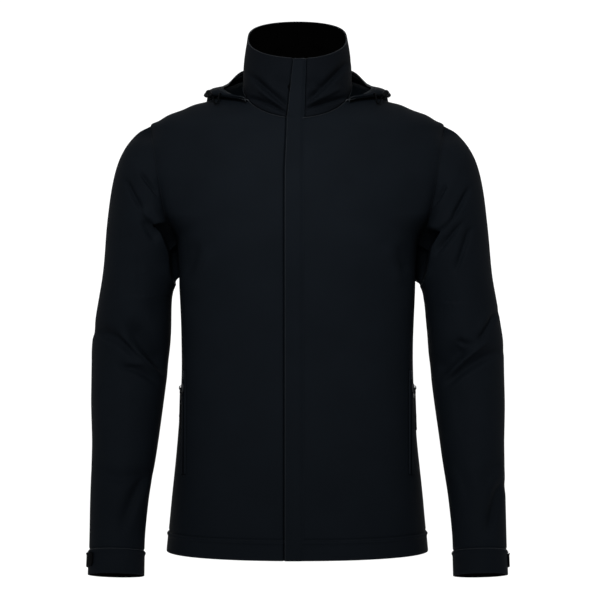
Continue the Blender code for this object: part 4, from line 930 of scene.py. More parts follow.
def shell_lines(grid, wall, closed, outside, free):
    """Lines of a wall of cloth all round it: up its outer face, over the top edge and down its inner face.

    The wall is this share outside the grid. Only free edges, the first or the last, are rounded.
    """
    normal = normals_of(grid, closed)
    outer, inner = grid + normal * wall * outside, grid - normal * wall * (1 - outside)
    top = round_edge(outer[-1], inner[-1], unit(grid[-1] - grid[-2])) if "last" in free else []
    low = round_edge(inner[0], outer[0], unit(grid[0] - grid[1])) if "first" in free else []
    return [*outer, *top, *inner[::-1], *low], len(top), len(low)


def shell(
    name, grid, wall, looks, closed=False, outside=0.0, free=("first", "last"), bands=None, slot="shell"
):
    """A wall of cloth with round free edges.

    The looks are those of its outer face, inner face and edges; bands, where given, says which of them the
    outer face has between each two columns.
    """
    rows, columns = grid.shape[:2]
    lines, top, low = shell_lines(grid, wall, closed, outside, free)
    count = len(lines)
    j, i = np.meshgrid(np.arange(count), np.arange(columns if closed else columns - 1), indexing="ij")
    after, right = (j + 1) % count, (i + 1) % columns
    quads = np.stack([j * columns + i, j * columns + right, after * columns + right, after * columns + i], -1)
    faces = quads.reshape(-1, 4).tolist()
    kinds = np.full(count, EDGE_LOOK)
    kinds[: rows - 1] = OUTER_LOOK
    kinds[rows + top : 2 * rows + top - 1] = INNER_LOOK
    kinds = np.repeat(np.minimum(kinds, len(looks) - 1)[:, None], quads.shape[1], axis=1)
    if bands is not None:
        kinds[: rows - 1] = bands
    kinds = kinds.ravel().tolist()
    if not closed:
        ends = side_faces(rows, columns, top, low)
        faces += ends
        kinds += [len(looks) - 1] * len(ends)
    mesh = mesh_of(name, np.array(lines).reshape(-1, 3), faces)
    mesh.polygons.foreach_set("material_index", kinds)
    mesh.set_sharp_from_angle(angle=SHARP_ANGLE)
    add_lengths(mesh, grid, closed, quads, rows, top)
    return add_object(name, mesh, looks, "garment")


def side_faces(rows, columns, top, low):
    """Faces that close the two sides of an open wall."""
    faces = []
    for column, turned in ((0, False), (columns - 1, True)):
        at = [line * columns + column for line in range(2 * rows + top + low)]
        outer, inner = at[:rows], at[rows + top : 2 * rows + top][::-1]
        ring = [[outer[k], outer[k + 1], inner[k + 1], inner[k]] for k in range(rows - 1)]
        if top:
            ring.append([inner[-1], outer[-1], *at[rows : rows + top]])
        if low:
            ring.append([outer[0], inner[0], *at[2 * rows + top :]])
        faces += [face[::-1] if turned else face for face in ring]
    return faces


def add_lengths(mesh, grid, closed, quads, rows, top):
    """UVs in metres along the cloth, the same on both faces, so that its weave follows the cut."""
    ring = full_ring(grid, closed)
    u, v = along_cloth(ring, 1), along_cloth(ring, 0)
    middle = u.shape[1] // 2
    u = u - u[:, middle : middle + 1]
    line = np.arange(quads.shape[0])
    source = np.clip(np.where(line < rows + top, line, 2 * rows + top - 1 - line), 0, rows - 1)
    after = source[(line + 1) % len(line)]
    i = np.arange(quads.shape[1])
    corners = [(source, i), (source, i + 1), (after, i + 1), (after, i)]
    uv = np.stack([np.stack([u[np.ix_(r, c)], v[np.ix_(r, c)]], -1) for r, c in corners], axis=2)
    layer = mesh.uv_layers.new(name="cloth")
    spare = len(mesh.loops) - uv.size // 2
    layer.data.foreach_set("uv", np.concatenate([uv.reshape(-1), np.zeros(2 * spare)]))


def cloth_piece(name, node, grid, wall, looks, closed=False, held="hung", **form):
    """A wall of cloth in place of a node, which is hidden."""
    obj = shell(name, grid, wall, looks, closed=closed, **form)
    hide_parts(node)


def rods(centres, ways, outs, half_length, radius, sides=6):
    """Points and faces of many short rounded rods; ways and outs are unit directions along and over them."""
    asides = np.cross(ways, outs)
    circle = [math.cos(turn) * asides + math.sin(turn) * outs for turn in turns(sides)]
    first, *rings, last = ROD_RINGS
    points = [centres + ways * half_length * first[0]]
    for at, size in rings:
        points.extend(centres + ways * half_length * at + spoke * radius * size for spoke in circle)
    points.append(centres + ways * half_length * last[0])
    points = np.stack(points, axis=1)
    each = points.shape[1]
    faces = []
    for k in range(sides):
        n = (k + 1) % sides
        faces.append((0, 1 + n, 1 + k))
        for low in range(1, 1 + (len(rings) - 1) * sides, sides):
            faces.append((low + k, low + n, low + sides + n, low + sides + k))
        top = 1 + (len(rings) - 1) * sides
        faces.append((top + k, top + n, each - 1))
    found = [tuple(q + m * each for q in face) for m in range(len(points)) for face in faces]
    return points.reshape(-1, 3), found


def stitch_row(line, out):
    """Centres, directions along and out, and half lengths of the stitches along a line on the cloth."""
    along = along_line(line)
    count = max(1, int(along[-1] / STITCH_PITCH))
    pitch = along[-1] / count
    reach = pitch * STITCH_SHARE / 2
    middle = (np.arange(count) + 0.5) * pitch
    ways = unit(points_at(middle + reach, along, line) - points_at(middle - reach, along, line))
    outs = points_at(middle, along, out)
    outs = unit(outs - ways * (outs * ways).sum(axis=1, keepdims=True))
    centres = points_at(middle, along, line) + outs * THREAD_RADIUS * THREAD_UP
    return centres, ways, outs, np.full((count, 1), reach)


def stitches(name, lines, look="thread"):
    """One mesh of all the stitches along several lines, each given as its points and outward directions."""
    rows = [stitch_row(line, out) for line, out in lines]
    parts = [np.concatenate([row[k] for row in rows]) for k in range(4)]
    points, faces = rods(*parts, THREAD_RADIUS)
    add_object(name, mesh_of(name, points, faces), [LOOKS[look]], "garment")


def grid_line(grid, normal, distance, axis, from_last=False):
    """A line on a grid at a distance from one of its edges, with the outward directions along it."""
    along = along_cloth(grid, axis)
    if from_last:
        along, grid, normal = [np.flip(a, axis) for a in (to_last(along, axis), grid, normal)]
    if axis == 1:
        along, grid, normal = along.T, grid.swapaxes(0, 1), normal.swapaxes(0, 1)
    line, out = [], []
    for c in range(grid.shape[1]):
        place = np.interp(distance, along[:, c], np.arange(len(along)))
        j = min(int(place), len(along) - 2)
        t = place - j
        line.append(grid[j, c] * (1 - t) + grid[j + 1, c] * t)
        out.append(normal[j, c] * (1 - t) + normal[j + 1, c] * t)
    return np.array(line), np.array(out)


def swept_mesh(name, rings):
    """A closed smooth mesh through equal rings of points."""
    rings = np.asarray(rings)
    count, sides = rings.shape[:2]
    faces = [
        (r * sides + k, r * sides + (k + 1) % sides, (r + 1) * sides + (k + 1) % sides, (r + 1) * sides + k)
        for r in range(count - 1)
        for k in range(sides)
    ]
    faces.append(tuple(range(sides))[::-1])
    faces.append(tuple((count - 1) * sides + k for k in range(sides)))
    return mesh_of(name, rings.reshape(-1, 3), faces)


# Materials

def look_nodes(name, roughness, specular):
    made = bpy.data.materials.new(name)
    made.use_nodes = True
    tree = made.node_tree
    shader = tree.nodes["Principled BSDF"]
    shader.inputs["Roughness"].default_value = roughness
    shader.inputs["Specular IOR Level"].default_value = specular
    return made, tree, shader


def add_node(tree, kind, **values):
    node = tree.nodes.new(kind)
    for key, value in values.items():
        if key in node.inputs:
            node.inputs[key].default_value = value
        else:
            setattr(node, key, value)
    return node


def tinted(tree, shader, place, color, drift, scale):
    """Colour that drifts a little between a darker and a lighter tone, in soft patches."""
    ramp = add_node(tree, "ShaderNodeValToRGB")
    for stop, share in zip(ramp.color_ramp.elements, (1 - drift, 1 + drift)):
        stop.color = (*[c * share for c in color], 1)
    ramp.color_ramp.elements[0].position = TINT_FROM
    ramp.color_ramp.elements[1].position = TINT_TO
    tree.links.new(grains(tree, place, scale, PATCH_DETAIL), ramp.inputs["Fac"])
    tree.links.new(ramp.outputs["Color"], shader.inputs["Base Color"])


def bumped(tree, shader, height, strength, distance):
    node = add_node(tree, "ShaderNodeBump", Strength=strength, Distance=distance)
    tree.links.new(height, node.inputs["Height"])
    tree.links.new(node.outputs["Normal"], shader.inputs["Normal"])


def combined(tree, operation, one, two):
    node = add_node(tree, "ShaderNodeMath", operation=operation)
    tree.links.new(one, node.inputs[0])
    tree.links.new(two, node.inputs[1])
    return node.outputs[0]


def threads(tree, place, direction, width, distortion):
    """A pattern of threads of this width, as a height."""
    scale = WAVE_NODE_PERIOD / width
    node = add_node(
        tree, "ShaderNodeTexWave", bands_direction=direction, Scale=scale, Distortion=distortion
    )
    tree.links.new(place, node.inputs["Vector"])
    return node.outputs["Fac"]


def grains(tree, place, scale, detail):
    node = add_node(tree, "ShaderNodeTexNoise", Scale=scale, Detail=detail)
    tree.links.new(place, node.inputs["Vector"])
    return node.outputs["Fac"]


def woven_look(row):
    """Cloth with a fine diagonal weave along its own lengths, and a faint grain."""
    made, tree, shader = look_nodes(row.name, row.roughness, row.specular)
    place = add_node(tree, "ShaderNodeTexCoord").outputs["UV"]
    tinted(tree, shader, place, row.color, row.drift, CLOTH_PATCHES)
    twill = threads(tree, place, "DIAGONAL", row.thread, TWILL_BEND)
    cross = threads(tree, place, "X", CROSS_SHARE * row.thread, CROSS_BEND)
    weave = combined(tree, "MULTIPLY", twill, cross)
    total = combined(tree, "ADD", weave, grains(tree, place, CLOTH_GRAIN, CLOTH_DETAIL))
    bumped(tree, shader, total, row.strength, WEAVE_HEIGHT)
    return made


def grained_look(row):
    """Moulded plastic, thread or coated metal: a fine grain over an even colour."""
    made, tree, shader = look_nodes(row.name, row.roughness, row.specular)
    shader.inputs["Metallic"].default_value = row.metallic
    place = add_node(tree, "ShaderNodeTexCoord").outputs["Object"]
    tinted(tree, shader, place, row.color, row.drift, row.scale / GRAIN_PATCHES)
    bumped(tree, shader, grains(tree, place, row.scale, GRAIN_DETAIL), row.strength, GRAIN_HEIGHT)
    return made


def make_looks():
    woven = {key: woven_look(row) for key, row in WOVEN_LOOKS.items()}
    return woven | {key: grained_look(row) for key, row in GRAINED_LOOKS.items()}


# Stage

def add_camera():
    camera = bpy.data.objects.new("camera", bpy.data.cameras.new("camera"))
    camera.data.lens = LENS
    camera.data.sensor_width = SENSOR
    camera.location = (CAMERA_X, -CAMERA_FAR, CAMERA_Z)
    camera.rotation_euler = (math.pi / 2, 0, 0)
    bpy.context.scene.collection.objects.link(camera)
    bpy.context.scene.camera = camera


def add_light(made):
    """A soft spot light with a broad fade at the edge of its beam."""
    light = bpy.data.lights.new(made.name, "SPOT")
    light.energy = made.power
    light.shadow_soft_size = made.radius
    light.spot_size = math.radians(made.cone)
    light.spot_blend = 1.0
    obj = bpy.data.objects.new(made.name, light)
    obj.visible_camera = False
    obj.visible_glossy = made.place[1] < 0      # lights behind leave no shine on edges seen from the front
    obj.location = made.place
    way = np.array(made.target) - np.array(made.place)
    flat = math.hypot(way[0], way[1])
    obj.rotation_euler = (math.pi / 2 + math.atan2(way[2], flat), 0, math.atan2(-way[0], way[1]))
    bpy.context.scene.collection.objects.link(obj)


def add_stage():
    """A white studio with soft lights and a plain pale floor."""
    world = bpy.data.worlds.new("studio")
    world.use_nodes = True
    background = world.node_tree.nodes["Background"]
    background.inputs["Color"].default_value = (1, 1, 1, 1)
    background.inputs["Strength"].default_value = WORLD_LIGHT
    bpy.context.scene.world = world
    bpy.context.scene.view_settings.view_transform = "Standard"
    for light in LIGHTS:
        add_light(light)
    half = FLOOR_SIZE / 2
    corners = [(-half, -half, FLOOR_Z), (half, -half, FLOOR_Z), (half, half, FLOOR_Z), (-half, half, FLOOR_Z)]
    mesh = mesh_of("floor", corners, [(0, 1, 2, 3)], smooth=False)
    made, tree, shader = look_nodes("floor", FLOOR_ROUGHNESS, 0.0)
    place = add_node(tree, "ShaderNodeTexCoord").outputs["Object"]
    tinted(tree, shader, place, [FLOOR_TONE] * 3, FLOOR_DRIFT, FLOOR_PATCHES)
    mesh.materials.append(made)
    floor = bpy.data.objects.new("floor", mesh)
    pieces.objects.link(floor)


# Cords

def cord_line(side, hood):
    """Points along the end of the drawcord, straight out of the hood and then hanging in front of it."""
    columns = np.array([[CORD_EXIT_COLUMN, CORD_EXIT_COLUMN + CORD_EXIT_STEP]] * 2)
    rows = np.array([[CORD_EXIT_ROW] * 2, [CORD_EXIT_ROW + CORD_EXIT_STEP] * 2])
    near = sample(hood, columns, rows)
    out = unit(np.cross(near[0, 1] - near[0, 0], near[1, 0] - near[0, 0]))
    start = near[0, 0] + out * (CLOTH / 2 + CORD_CLEAR)
    route = np.concatenate([[start, start + out * 2 * CORD_RADIUS], CORD_HANGING])
    return smooth_line(route, CORD_POINTS) * np.array([side, 1, 1])


def cord_curve(name, line):
    curve = bpy.data.curves.new(name, "CURVE")
    curve.dimensions = "3D"
    curve.bevel_depth = CORD_RADIUS
    curve.bevel_resolution = CORD_ROUND_STEPS
    curve.use_fill_caps = True
    spline = curve.splines.new("POLY")
    spline.points.add(len(line) - 1)
    for point, co in zip(spline.points, line):
        point.co = (*co, 1)
    return curve


def lock_rings(line):
    """Rings of the cord lock on the end of a cord."""
    way = unit(line[-1] - line[-CORD_END_POINTS])
    start = line[-1] + way * SEAM_GAP
    across = unit(np.cross(way, [0, 0, 1.0]))
    aside = np.cross(way, across)
    turn = turns(LOCK_SIDES)[:, None]
    circle = LOCK_RADIUS * (np.cos(turn) * across + np.sin(turn) * aside)
    return [start + way * (at * LOCK_LENGTH) + circle * size for at, size in LOCK_PROFILE]


def make_cord(side_name, side, hood):
    """One end of the hood's drawcord and the lock on it."""
    line = cord_line(side, hood)
    name = f"hood_cord_{side_name}_line"
    cord = add_object(name, cord_curve(name, line), [LOOKS["cord"]], "garment")
    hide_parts(f"hood_cord_{side_name}")
    name = f"cord_lock_{side_name}_barrel"
    lock = add_object(name, swept_mesh(name, lock_rings(line)), [LOOKS["plastic"]], "garment")
    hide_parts(f"cord_lock_{side_name}")


# Pocket zips

def pocket_columns(grid):
    """Fractional column of the pocket zip on each mesh line of a front."""
    found = []
    for line in np.abs(grid[:, :, 0]):
        order = np.argsort(line)
        found.append(np.interp(POCKET_X, line[order], np.arange(len(line))[order]))
    return np.array(found)


def zip_frames(grid, heights):
    """Points on a front along its pocket zip, with the directions across, up the zip and out."""
    columns = pocket_columns(grid)[:FIRST_ARM_LINE]
    line = sample(grid, columns, np.arange(FIRST_ARM_LINE, dtype=float))
    rows = np.interp(heights, line[:, 2], np.arange(FIRST_ARM_LINE))
    at = np.interp(rows, np.arange(FIRST_ARM_LINE), columns)
    points = sample(grid, at, rows)
    up = unit(np.gradient(points, axis=0))
    wide = sample(grid, at + 0.5, rows) - sample(grid, at - 0.5, rows)
    out = unit(np.cross(wide, up))
    return points, np.cross(up, out), up, out


def placed(frame_at, local):
    """Points of a zip's small part from its own directions: across, up and out."""
    point, wide, up, out = frame_at
    local = np.asarray(local, float)
    return point + local[..., :1] * wide + local[..., 1:2] * up + local[..., 2:3] * out


def slider_plate(frame_at):
    """The slider's plate with rounded edges, as a mesh being built."""
    around = PLATE_OUTLINE + [(-a, b) for a, b in reversed(PLATE_OUTLINE)]
    shape = bmesh.new()
    face = shape.faces.new([shape.verts.new((a, b, PLATE_FLOOR)) for a, b in around])
    raised = bmesh.ops.extrude_face_region(shape, geom=[face])["geom"]
    for vertex in [g for g in raised if isinstance(g, bmesh.types.BMVert)]:
        vertex.co.z = PLATE_TOP
    bmesh.ops.recalc_face_normals(shape, faces=shape.faces)
    bmesh.ops.bevel(shape, geom=shape.edges, offset=PLATE_ROUND, segments=3, affect="EDGES", profile=0.5)
    for vertex in shape.verts:
        vertex.co = placed(frame_at, [vertex.co[:]])[0]
    bmesh.ops.recalc_face_normals(shape, faces=shape.faces)
    return shape


def squarish(sides):
    """A circle of points drawn out towards a square: across and over."""
    turn = turns(sides)
    return signed_power(np.cos(turn), SQUARE_POWER), signed_power(np.sin(turn), SQUARE_POWER)


def tube(path, half_wide, half_thick, wide, sides=12, closed=False):
    """Rings of a flattened tube along a path; wide is the direction of its width."""
    path = np.asarray(path, float)
    if closed:
        way = np.roll(path, -1, axis=0) - np.roll(path, 1, axis=0)
    else:
        way = np.gradient(path, axis=0)
    way = unit(way)
    side = unit(wide - way * (way @ wide)[:, None])
    over = np.cross(way, side)
    circle = zip(*squarish(sides))
    return np.stack([path + side * half_wide * c + over * half_thick * s for c, s in circle], axis=1)


def add_rings(shape, rings, closed=False):
    """Adds a tube's faces to a mesh being built."""
    rows = [[shape.verts.new(point) for point in ring] for ring in rings]
    pairs = list(zip(rows[:-1], rows[1:]))
    if closed:
        pairs.append((rows[-1], rows[0]))
    else:
        shape.faces.new(rows[0][::-1])
        shape.faces.new(rows[-1])
    for low, high in pairs:
        for k in range(len(low)):
            n = (k + 1) % len(low)
            shape.faces.new((low[k], low[n], high[n], high[k]))


def shape_object(name, shape, look, body):
    bmesh.ops.recalc_face_normals(shape, faces=shape.faces)
    mesh = bpy.data.meshes.new(name)
    shape.to_mesh(mesh)
    shape.free()
    mesh.polygons.foreach_set("use_smooth", np.full(len(mesh.polygons), True))
    return add_object(name, mesh, [look], body)


def make_slider(side_name, frame_at):
    """The slider's plate and the bridge over it that holds the pull."""
    shape = slider_plate(frame_at)
    path = smooth_line([(0.0, b, c) for b, c in BRIDGE_PATH], BRIDGE_POINTS)
    wide = frame_at[1]
    add_rings(shape, tube(placed(frame_at, path), BRIDGE_HALF, BRIDGE_BAR, wide))
    slider = shape_object(f"pocket_slider_{side_name}_body", shape, LOOKS["metal"], "garment")
    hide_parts(f"pocket_slider_{side_name}")


def eye_path():
    """The pull's ring: a loop with rounded corners, whose bar is the hinge."""
    side, high, low = EYE_HALF - EYE_CORNER, -EYE_CORNER, -EYE_LENGTH + EYE_CORNER
    path = []
    for x, y, start in ((side, high, 0), (-side, high, 90), (-side, low, 180), (side, low, 270)):
        for turn in np.radians(start + np.linspace(0, 90, EYE_CORNER_POINTS)):
            path.append((x + EYE_CORNER * math.cos(turn), y + EYE_CORNER * math.sin(turn), 0.0))
    return path


def tab_rings(frame_at):
    """Rings down the pull's tab, with ridges across its grip."""
    stations = np.array(PULL_STATIONS)
    even = np.linspace(stations[0, 0], stations[-1, 0], PULL_LINES)
    down = np.unique(np.concatenate([stations[:, 0], even]))
    half = np.interp(down, stations[:, 0], stations[:, 1])
    thick = np.interp(down, stations[:, 0], stations[:, 2])
    inside = (down > GRIP_FROM) & (down < GRIP_TO)
    wave = 0.5 - 0.5 * np.cos((down - GRIP_FROM) / (GRIP_TO - GRIP_FROM) * GRIP_RIDGES * 2 * math.pi)
    thick = thick - np.where(inside, wave * GRIP_CUT, 0)
    across, over = squarish(PULL_SIDES)
    return [
        placed(frame_at, np.stack([w * across, np.full(PULL_SIDES, -d), t * over], axis=1))
        for d, w, t in zip(down, half, thick)
    ]


def make_pull(side_name, frame_at):
    """The pull's ring and tab, on the body that swings."""
    shape = bmesh.new()
    out = frame_at[3]
    add_rings(shape, tube(placed(frame_at, eye_path()), EYE_BAR, EYE_BAR, out, closed=True), closed=True)
    add_rings(shape, tab_rings(frame_at))
    name, body = f"pocket_pull_{side_name}_tab", f"{side_name}_pull"
    pull = shape_object(name, shape, LOOKS["plastic"], body)
    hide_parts(f"pocket_pull_{side_name}")


def garage_lines(points, wide, out, level):
    """Lines of stitches round the top of a pocket zip, with the outward directions along them."""
    near = np.linalg.norm(points - points[-1], axis=1) < GARAGE_LENGTH
    middle, over = points[near] + out[near] * level, out[near]
    lines = [(middle + wide[near] * side * GARAGE_HALF, over) for side in (-1, 1)]
    bar = np.array([lines[0][0][-2], lines[1][0][-2]])
    return [*lines, (bar, over[-2:])]


def zip_strip(points, wide, out, seat):
    """The zip's lips and tape as a grid, and for each gap between its columns whether it lies in the slit."""
    half = MM * np.array(ZIP_PROFILE)
    columns = np.concatenate([-half[:, 0], [0.0], half[::-1, 0]])
    level = seat + np.concatenate([half[:, 1], half[-1:, 1], half[::-1, 1]])
    strip = points[:, None] + wide[:, None] * columns[None, :, None] + out[:, None] * level[None, :, None]
    in_slit = np.abs(columns[:-1] + columns[1:]) / 2 < SLIT_HALF
    return strip, in_slit.astype(int)


def add_teeth(name, points, wide, out, seat):
    """Teeth that reach over the slit from its two sides in turn."""
    count = int(along_line(points)[-1] / TOOTH_PITCH)
    places = (np.arange(count) + 0.5) / count * (len(points) - 1)
    middle, across, over = [points_at(places, np.arange(len(points)), a) for a in (points, wide, out)]
    side = np.where(np.arange(count) % 2 == 0, 1.0, -1.0)[:, None]
    centres = middle + over * seat + across * side * TOOTH_ASIDE
    parts = rods(centres, unit(across), unit(over), TOOTH_HALF, TOOTH_RADIUS)
    return add_object(name, mesh_of(name, *parts), [LOOKS["coil"]], "garment")


def make_pocket_zip(side_name, grid, joint):
    """Tape, teeth, slider and pull; the pull's hinge gives the slider's place."""
    pivot, axis = np.array(joint["pos_m"]), np.array(joint["axis"])
    heights = np.linspace(POCKET_BOTTOM, POCKET_TOP, POCKET_LINES)
    points, wide, up, out = zip_frames(grid, heights)
    here = int(np.argmin(np.abs(heights - pivot[2])))
    slider_up = unit(up[here] - axis * (up[here] @ axis))
    frame_at = (pivot, -axis, slider_up, np.cross(-axis, slider_up))
    seat = (pivot - points[here]) @ out[here] + PLATE_FLOOR - SEAM_GAP - COIL_RISE

    name = f"pocket_zip_{side_name}"
    strip, bands = zip_strip(points, wide, out, seat)
    looks = [LOOKS["shell"], LOOKS["tape"]]
    tape = shell(f"{name}_tape", strip, TAPE_WALL, looks, bands=bands, slot="zip_tape")
    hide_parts(name)
    lip = MM * max(rise for _, rise in ZIP_PROFILE)
    stitches(f"pocket_stitches_{side_name}", garage_lines(points, wide, out, seat + lip), "light thread")
    teeth = add_teeth(f"{name}_teeth", points, wide, out, seat)
    make_slider(side_name, frame_at)
    make_pull(side_name, frame_at)


# Flap and straps

def flap_on_collar(low, high):
    """Points of the flap over the collar, from distances across at its foot to those at its top."""
    neck = BODY_ROWS[NECK_ROW]
    rows = []
    for h in np.linspace(*FLAP_COLLAR_SPAN, COLLAR_LINES):
        row = []
        for x in low + (high - low) * h:
            angle = angle_at(neck, x - COLLAR_LEAN * h)
            point = collar_point(body_line(neck, FRONT, angle, angle, 1)[0], h)
            point[0] = x
            row.append(point)
        rows.append(row)
    return np.array(rows)


def flap_grid():
    """The storm flap from the hem to the collar's top; its sewn edge lies down on the left front."""
    wide = FLAP_SEWN_EDGE - FLAP_FREE_EDGE
    share = np.concatenate([FLAP_COLUMNS / wide, FLAP_EVEN, FLAP_LAST])
    low = FLAP_FREE_EDGE + wide * share
    high = FLAP_TOP_FREE + (FLAP_TOP_SEWN - FLAP_TOP_FREE) * share
    lie = smoothstep((1 - share) / FLAP_LIE)
    turned = 1 - np.clip(wide * share / FLAP_ROUND, 0, 1)
    out = SEAM_GAP + (FLAP_RAISED - SEAM_GAP) * lie - FLAP_ROUND * (1 - np.sqrt(1 - turned * turned))
    body = front_strip(low, out)
    to_neck = smoothstep(1 + (body[:, :1, 2] - body[-1, 0, 2]) / FLAP_NECK_RUN)
    body[:, :, 0] += FLAP_NECK * (1 - share) * to_neck
    collar = flap_on_collar(low + FLAP_NECK * (1 - share), high)
    collar = collar + normals_of(collar) * out[None, :, None]
    soft = np.concatenate([body[:-1], collar])
    for _ in range(FLAP_SOFTENED):
        soft[1:-1] = (soft[:-2] + 2 * soft[1:-1] + soft[2:]) / 4
    return soft


def with_slot(front_right):
    """The right front with a dip beside the flap's free edge."""
    to_neck = smoothstep(1 + (front_right[:, :, 2] - BODY_ROWS[NECK_ROW].z_front) / FLAP_NECK_RUN)
    slot = FLAP_SLOT * bump((front_right[:, :, 0] - FLAP_SLOT_X - FLAP_NECK * to_neck) / FLAP_SLOT_SOFT)
    return front_right + np.array([0, 1, 0]) * slot[..., None]


def strap_grid(sleeve, side_name):
    """A strap round the outside of a cuff, from behind to its free end in front, with rounded corners."""
    count = sleeve.shape[1]
    middle = sleeve[0].mean(axis=0)
    up = along_cloth(sleeve, 0).mean(axis=1)
    side = 1 if side_name == "left" else -1
    turn = np.degrees(np.arctan2(-(sleeve[0, :, 1] - middle[1]), side * (sleeve[0, :, 0] - middle[0])))
    order = np.argsort(turn)
    spun = np.concatenate([turn[order] - 360, turn[order], turn[order] + 360])
    column = np.unwrap(np.tile(order, 3), period=count)
    sewn, end = np.interp([STRAP_SEWN_DEG, STRAP_END_DEG[side_name]], spun, column)
    columns = np.linspace(sewn, end, STRAP_COLUMNS)
    mid_row = np.interp(STRAP_UP, up, np.arange(len(up)))
    line = sample(sleeve, columns, np.full(STRAP_COLUMNS, mid_row))
    along = along_line(line)
    past = np.clip(along - (along[-1] - STRAP_CORNER), 0, STRAP_CORNER)
    half = STRAP_WIDTH / 2 - STRAP_CORNER + np.sqrt(np.maximum(STRAP_CORNER**2 - past**2, 0))
    height = STRAP_UP + np.linspace(-1, 1, STRAP_ROWS)[:, None] * half[None, :]
    rows = np.interp(height, up, np.arange(len(up)))
    strip = sample(sleeve, np.tile(columns, (STRAP_ROWS, 1)), rows)
    normal = normals_of(strip)
    if (normal * (strip - middle)).sum() < 0:
        strip = strip[:, ::-1]
        normal = normals_of(strip)
    return strip + normal * (2 * SEAM_GAP + STRAP_WALL + HEM_STEP)


# Pieces of the garment

def add_panels(panels):
    """The fronts, the back, the collar and the flap."""
    shell_look, inside, edge = LOOKS["shell"], LOOKS["inside"], LOOKS["edge"]
    panel_looks = [shell_look, inside, shell_look]
    # The collar's own look is painted darker, a painted shade.
    collar_looks, flap_looks = [LOOKS["collar"], inside, edge], [shell_look, inside, edge]
    for name in ("front_left", "front_right", "back"):
        cloth_piece(f"{name}_cloth", name, panels[name], CLOTH, panel_looks, free=("first",))
    cloth_piece("collar_cloth", "collar", panels["collar"], COLLAR_WALL, collar_looks, free=("last",))
    flap = panels["storm_flap"]
    # The collar's top edge and the flap's free edge take the edge look, a painted highlight.
    bands = np.where(np.arange(flap.shape[1] - 1) < FLAP_EDGE_GAPS, EDGE_LOOK, OUTER_LOOK)
    cloth_piece("storm_flap_cloth", "storm_flap", flap, FLAP_WALL, flap_looks, bands=bands)


def add_hood_half(side_name, hood):
    """Half the hood, with two rows of stitches along each face of its rim."""
    name = f"hood_{side_name}"
    # The rim's rounded edge takes the rim look, a painted highlight.
    looks = [LOOKS["shell"], LOOKS["lining"], LOOKS["rim"]]
    cloth_piece(f"{name}_cloth", name, hood, CLOTH, looks, outside=0.5, free=("last",))
    normal = normals_of(hood)
    rims = [
        grid_line(hood + out * CLOTH / 2, out, down, 0, from_last=True)
        for out in (normal, -normal)
        for down in RIM_STITCHES
    ]
    stitches(f"{name}_stitches", rims, "light thread")


def add_sleeve(side_name, side, ring):
    """A sleeve with its cuff strap and the stitches round its cuff."""
    name = f"sleeve_{side_name}"
    sleeve = dressed_sleeve(name, eased(sleeve_grid(ring, side)))
    looks = [LOOKS["shell"], LOOKS["inside"], LOOKS["shell"]]
    cloth_piece(f"{name}_cloth", name, sleeve, CLOTH, looks, closed=True, free=("first",))
    name = f"cuff_tab_{side_name}"
    strap = strap_grid(sleeve, side_name)
    cloth_piece(f"{name}_strap", name, strap, STRAP_WALL, [LOOKS["strap"]], held="laid")
    line, out = grid_line(sleeve, normals_of(sleeve, closed=True), CUFF_UP, 0)
    loop = [np.concatenate([a, a[:1]]) for a in (line, out)]
    stitches(f"cuff_stitches_{side_name}", [loop], "light thread")


def add_neck_roll(side_name, grid):
    """The rolled edge of a front along the neck seam, in the edge look: a painted highlight."""
    roll = grid[-1] + normals_of(grid)[-1] * ROLL_OUT
    shape = bmesh.new()
    add_rings(shape, tube(roll, ROLL_RADIUS, ROLL_RADIUS, np.array([0, 0, 1.0]), sides=8))
    shape_object(f"neck_roll_{side_name}", shape, LOOKS["edge"], "garment")


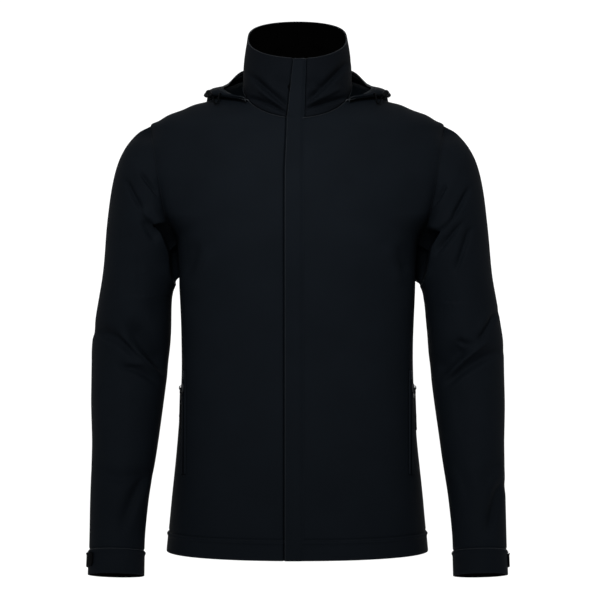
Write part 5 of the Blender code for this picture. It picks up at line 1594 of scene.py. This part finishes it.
def add_panel_stitches(panels):
    """Stitches along the hem and round the armholes; a front has one armhole and the back two."""
    hem, armholes = [], []
    arm = slice(FIRST_ARM_LINE, TIP_LINE + 1)
    for name, from_lasts in (("front_left", [True]), ("front_right", [False]), ("back", [False, True])):
        grid = panels[name]
        normal = normals_of(grid)
        hem.append(grid_line(grid, normal, HEM_UP, 0))
        for from_last in from_lasts:
            line, out = grid_line(grid, normal, TOPSTITCH, 1, from_last)
            armholes.append((line[arm], out[arm]))
    stitches("hem_stitches", hem)
    stitches("armhole_stitches", armholes)


def garment_panels():
    """Grids of the fronts, back, collar and flap, and the ring of the armhole on the +X side."""
    half_opening = ZIP_OPENING / 2
    left = front_grid(ZIP_MIDDLE + half_opening)
    half_back = back_half_grid()
    ring = armhole_ring(left, half_back)
    left, half_back = eased(left), eased(half_back)
    right = eased(mirrored(front_grid(-(ZIP_MIDDLE - half_opening))))
    back = np.concatenate([half_back[:, ::-1], mirrored(half_back)[:, ::-1][:, 1:]], axis=1)
    panels = {
        "front_left": dressed_panel("front_left", left, False, True),
        "front_right": with_slot(dressed_panel("front_right", right, True, False)),
        "back": dressed_panel("back", back, True, True),
        "collar": dressed_collar(collar_grid(left, back, right)),
        "storm_flap": flap_grid(),
    }
    return panels, ring


# Build: stage and cords first, then the cloth, then the sewing and the zips

SIDES = {"left": 1, "right": -1}
pieces = bpy.data.collections.new("windbreaker")
bpy.context.scene.collection.children.link(pieces)
LOOKS = make_looks()
add_camera()
add_stage()
half_gap = np.array([SEAM_GAP / 2, 0, 0])
solid_hood = hood_grid(SOLID_HOOD_COLUMNS, SOLID_HOOD_LINES) + half_gap
for side_name, side in SIDES.items():
    make_cord(side_name, side, solid_hood)

panels, ring = garment_panels()
add_panels(panels)
hood_left = hood_grid(HOOD_COLUMNS, HOOD_LINES) + half_gap
for side_name, side in SIDES.items():
    add_hood_half(side_name, hood_left if side > 0 else mirrored(hood_left))
    add_sleeve(side_name, side, ring)
for side_name in SIDES:
    add_neck_roll(side_name, panels[f"front_{side_name}"])
add_panel_stitches(panels)

joints = {joint["name"]: joint for joint in frame["record"]["behaviour"]["joints"]}
for side_name in SIDES:
    make_pocket_zip(side_name, panels[f"front_{side_name}"], joints[f"{side_name}_pull_swing"])

# The front zip keeps its own solids, hidden under the flap
for name, look in (("front_zip", "tape"), ("front_zip_slider", "metal")):
    node = frame["nodes"][name]
    node.data.materials.clear()
    node.data.materials.append(LOOKS[look])
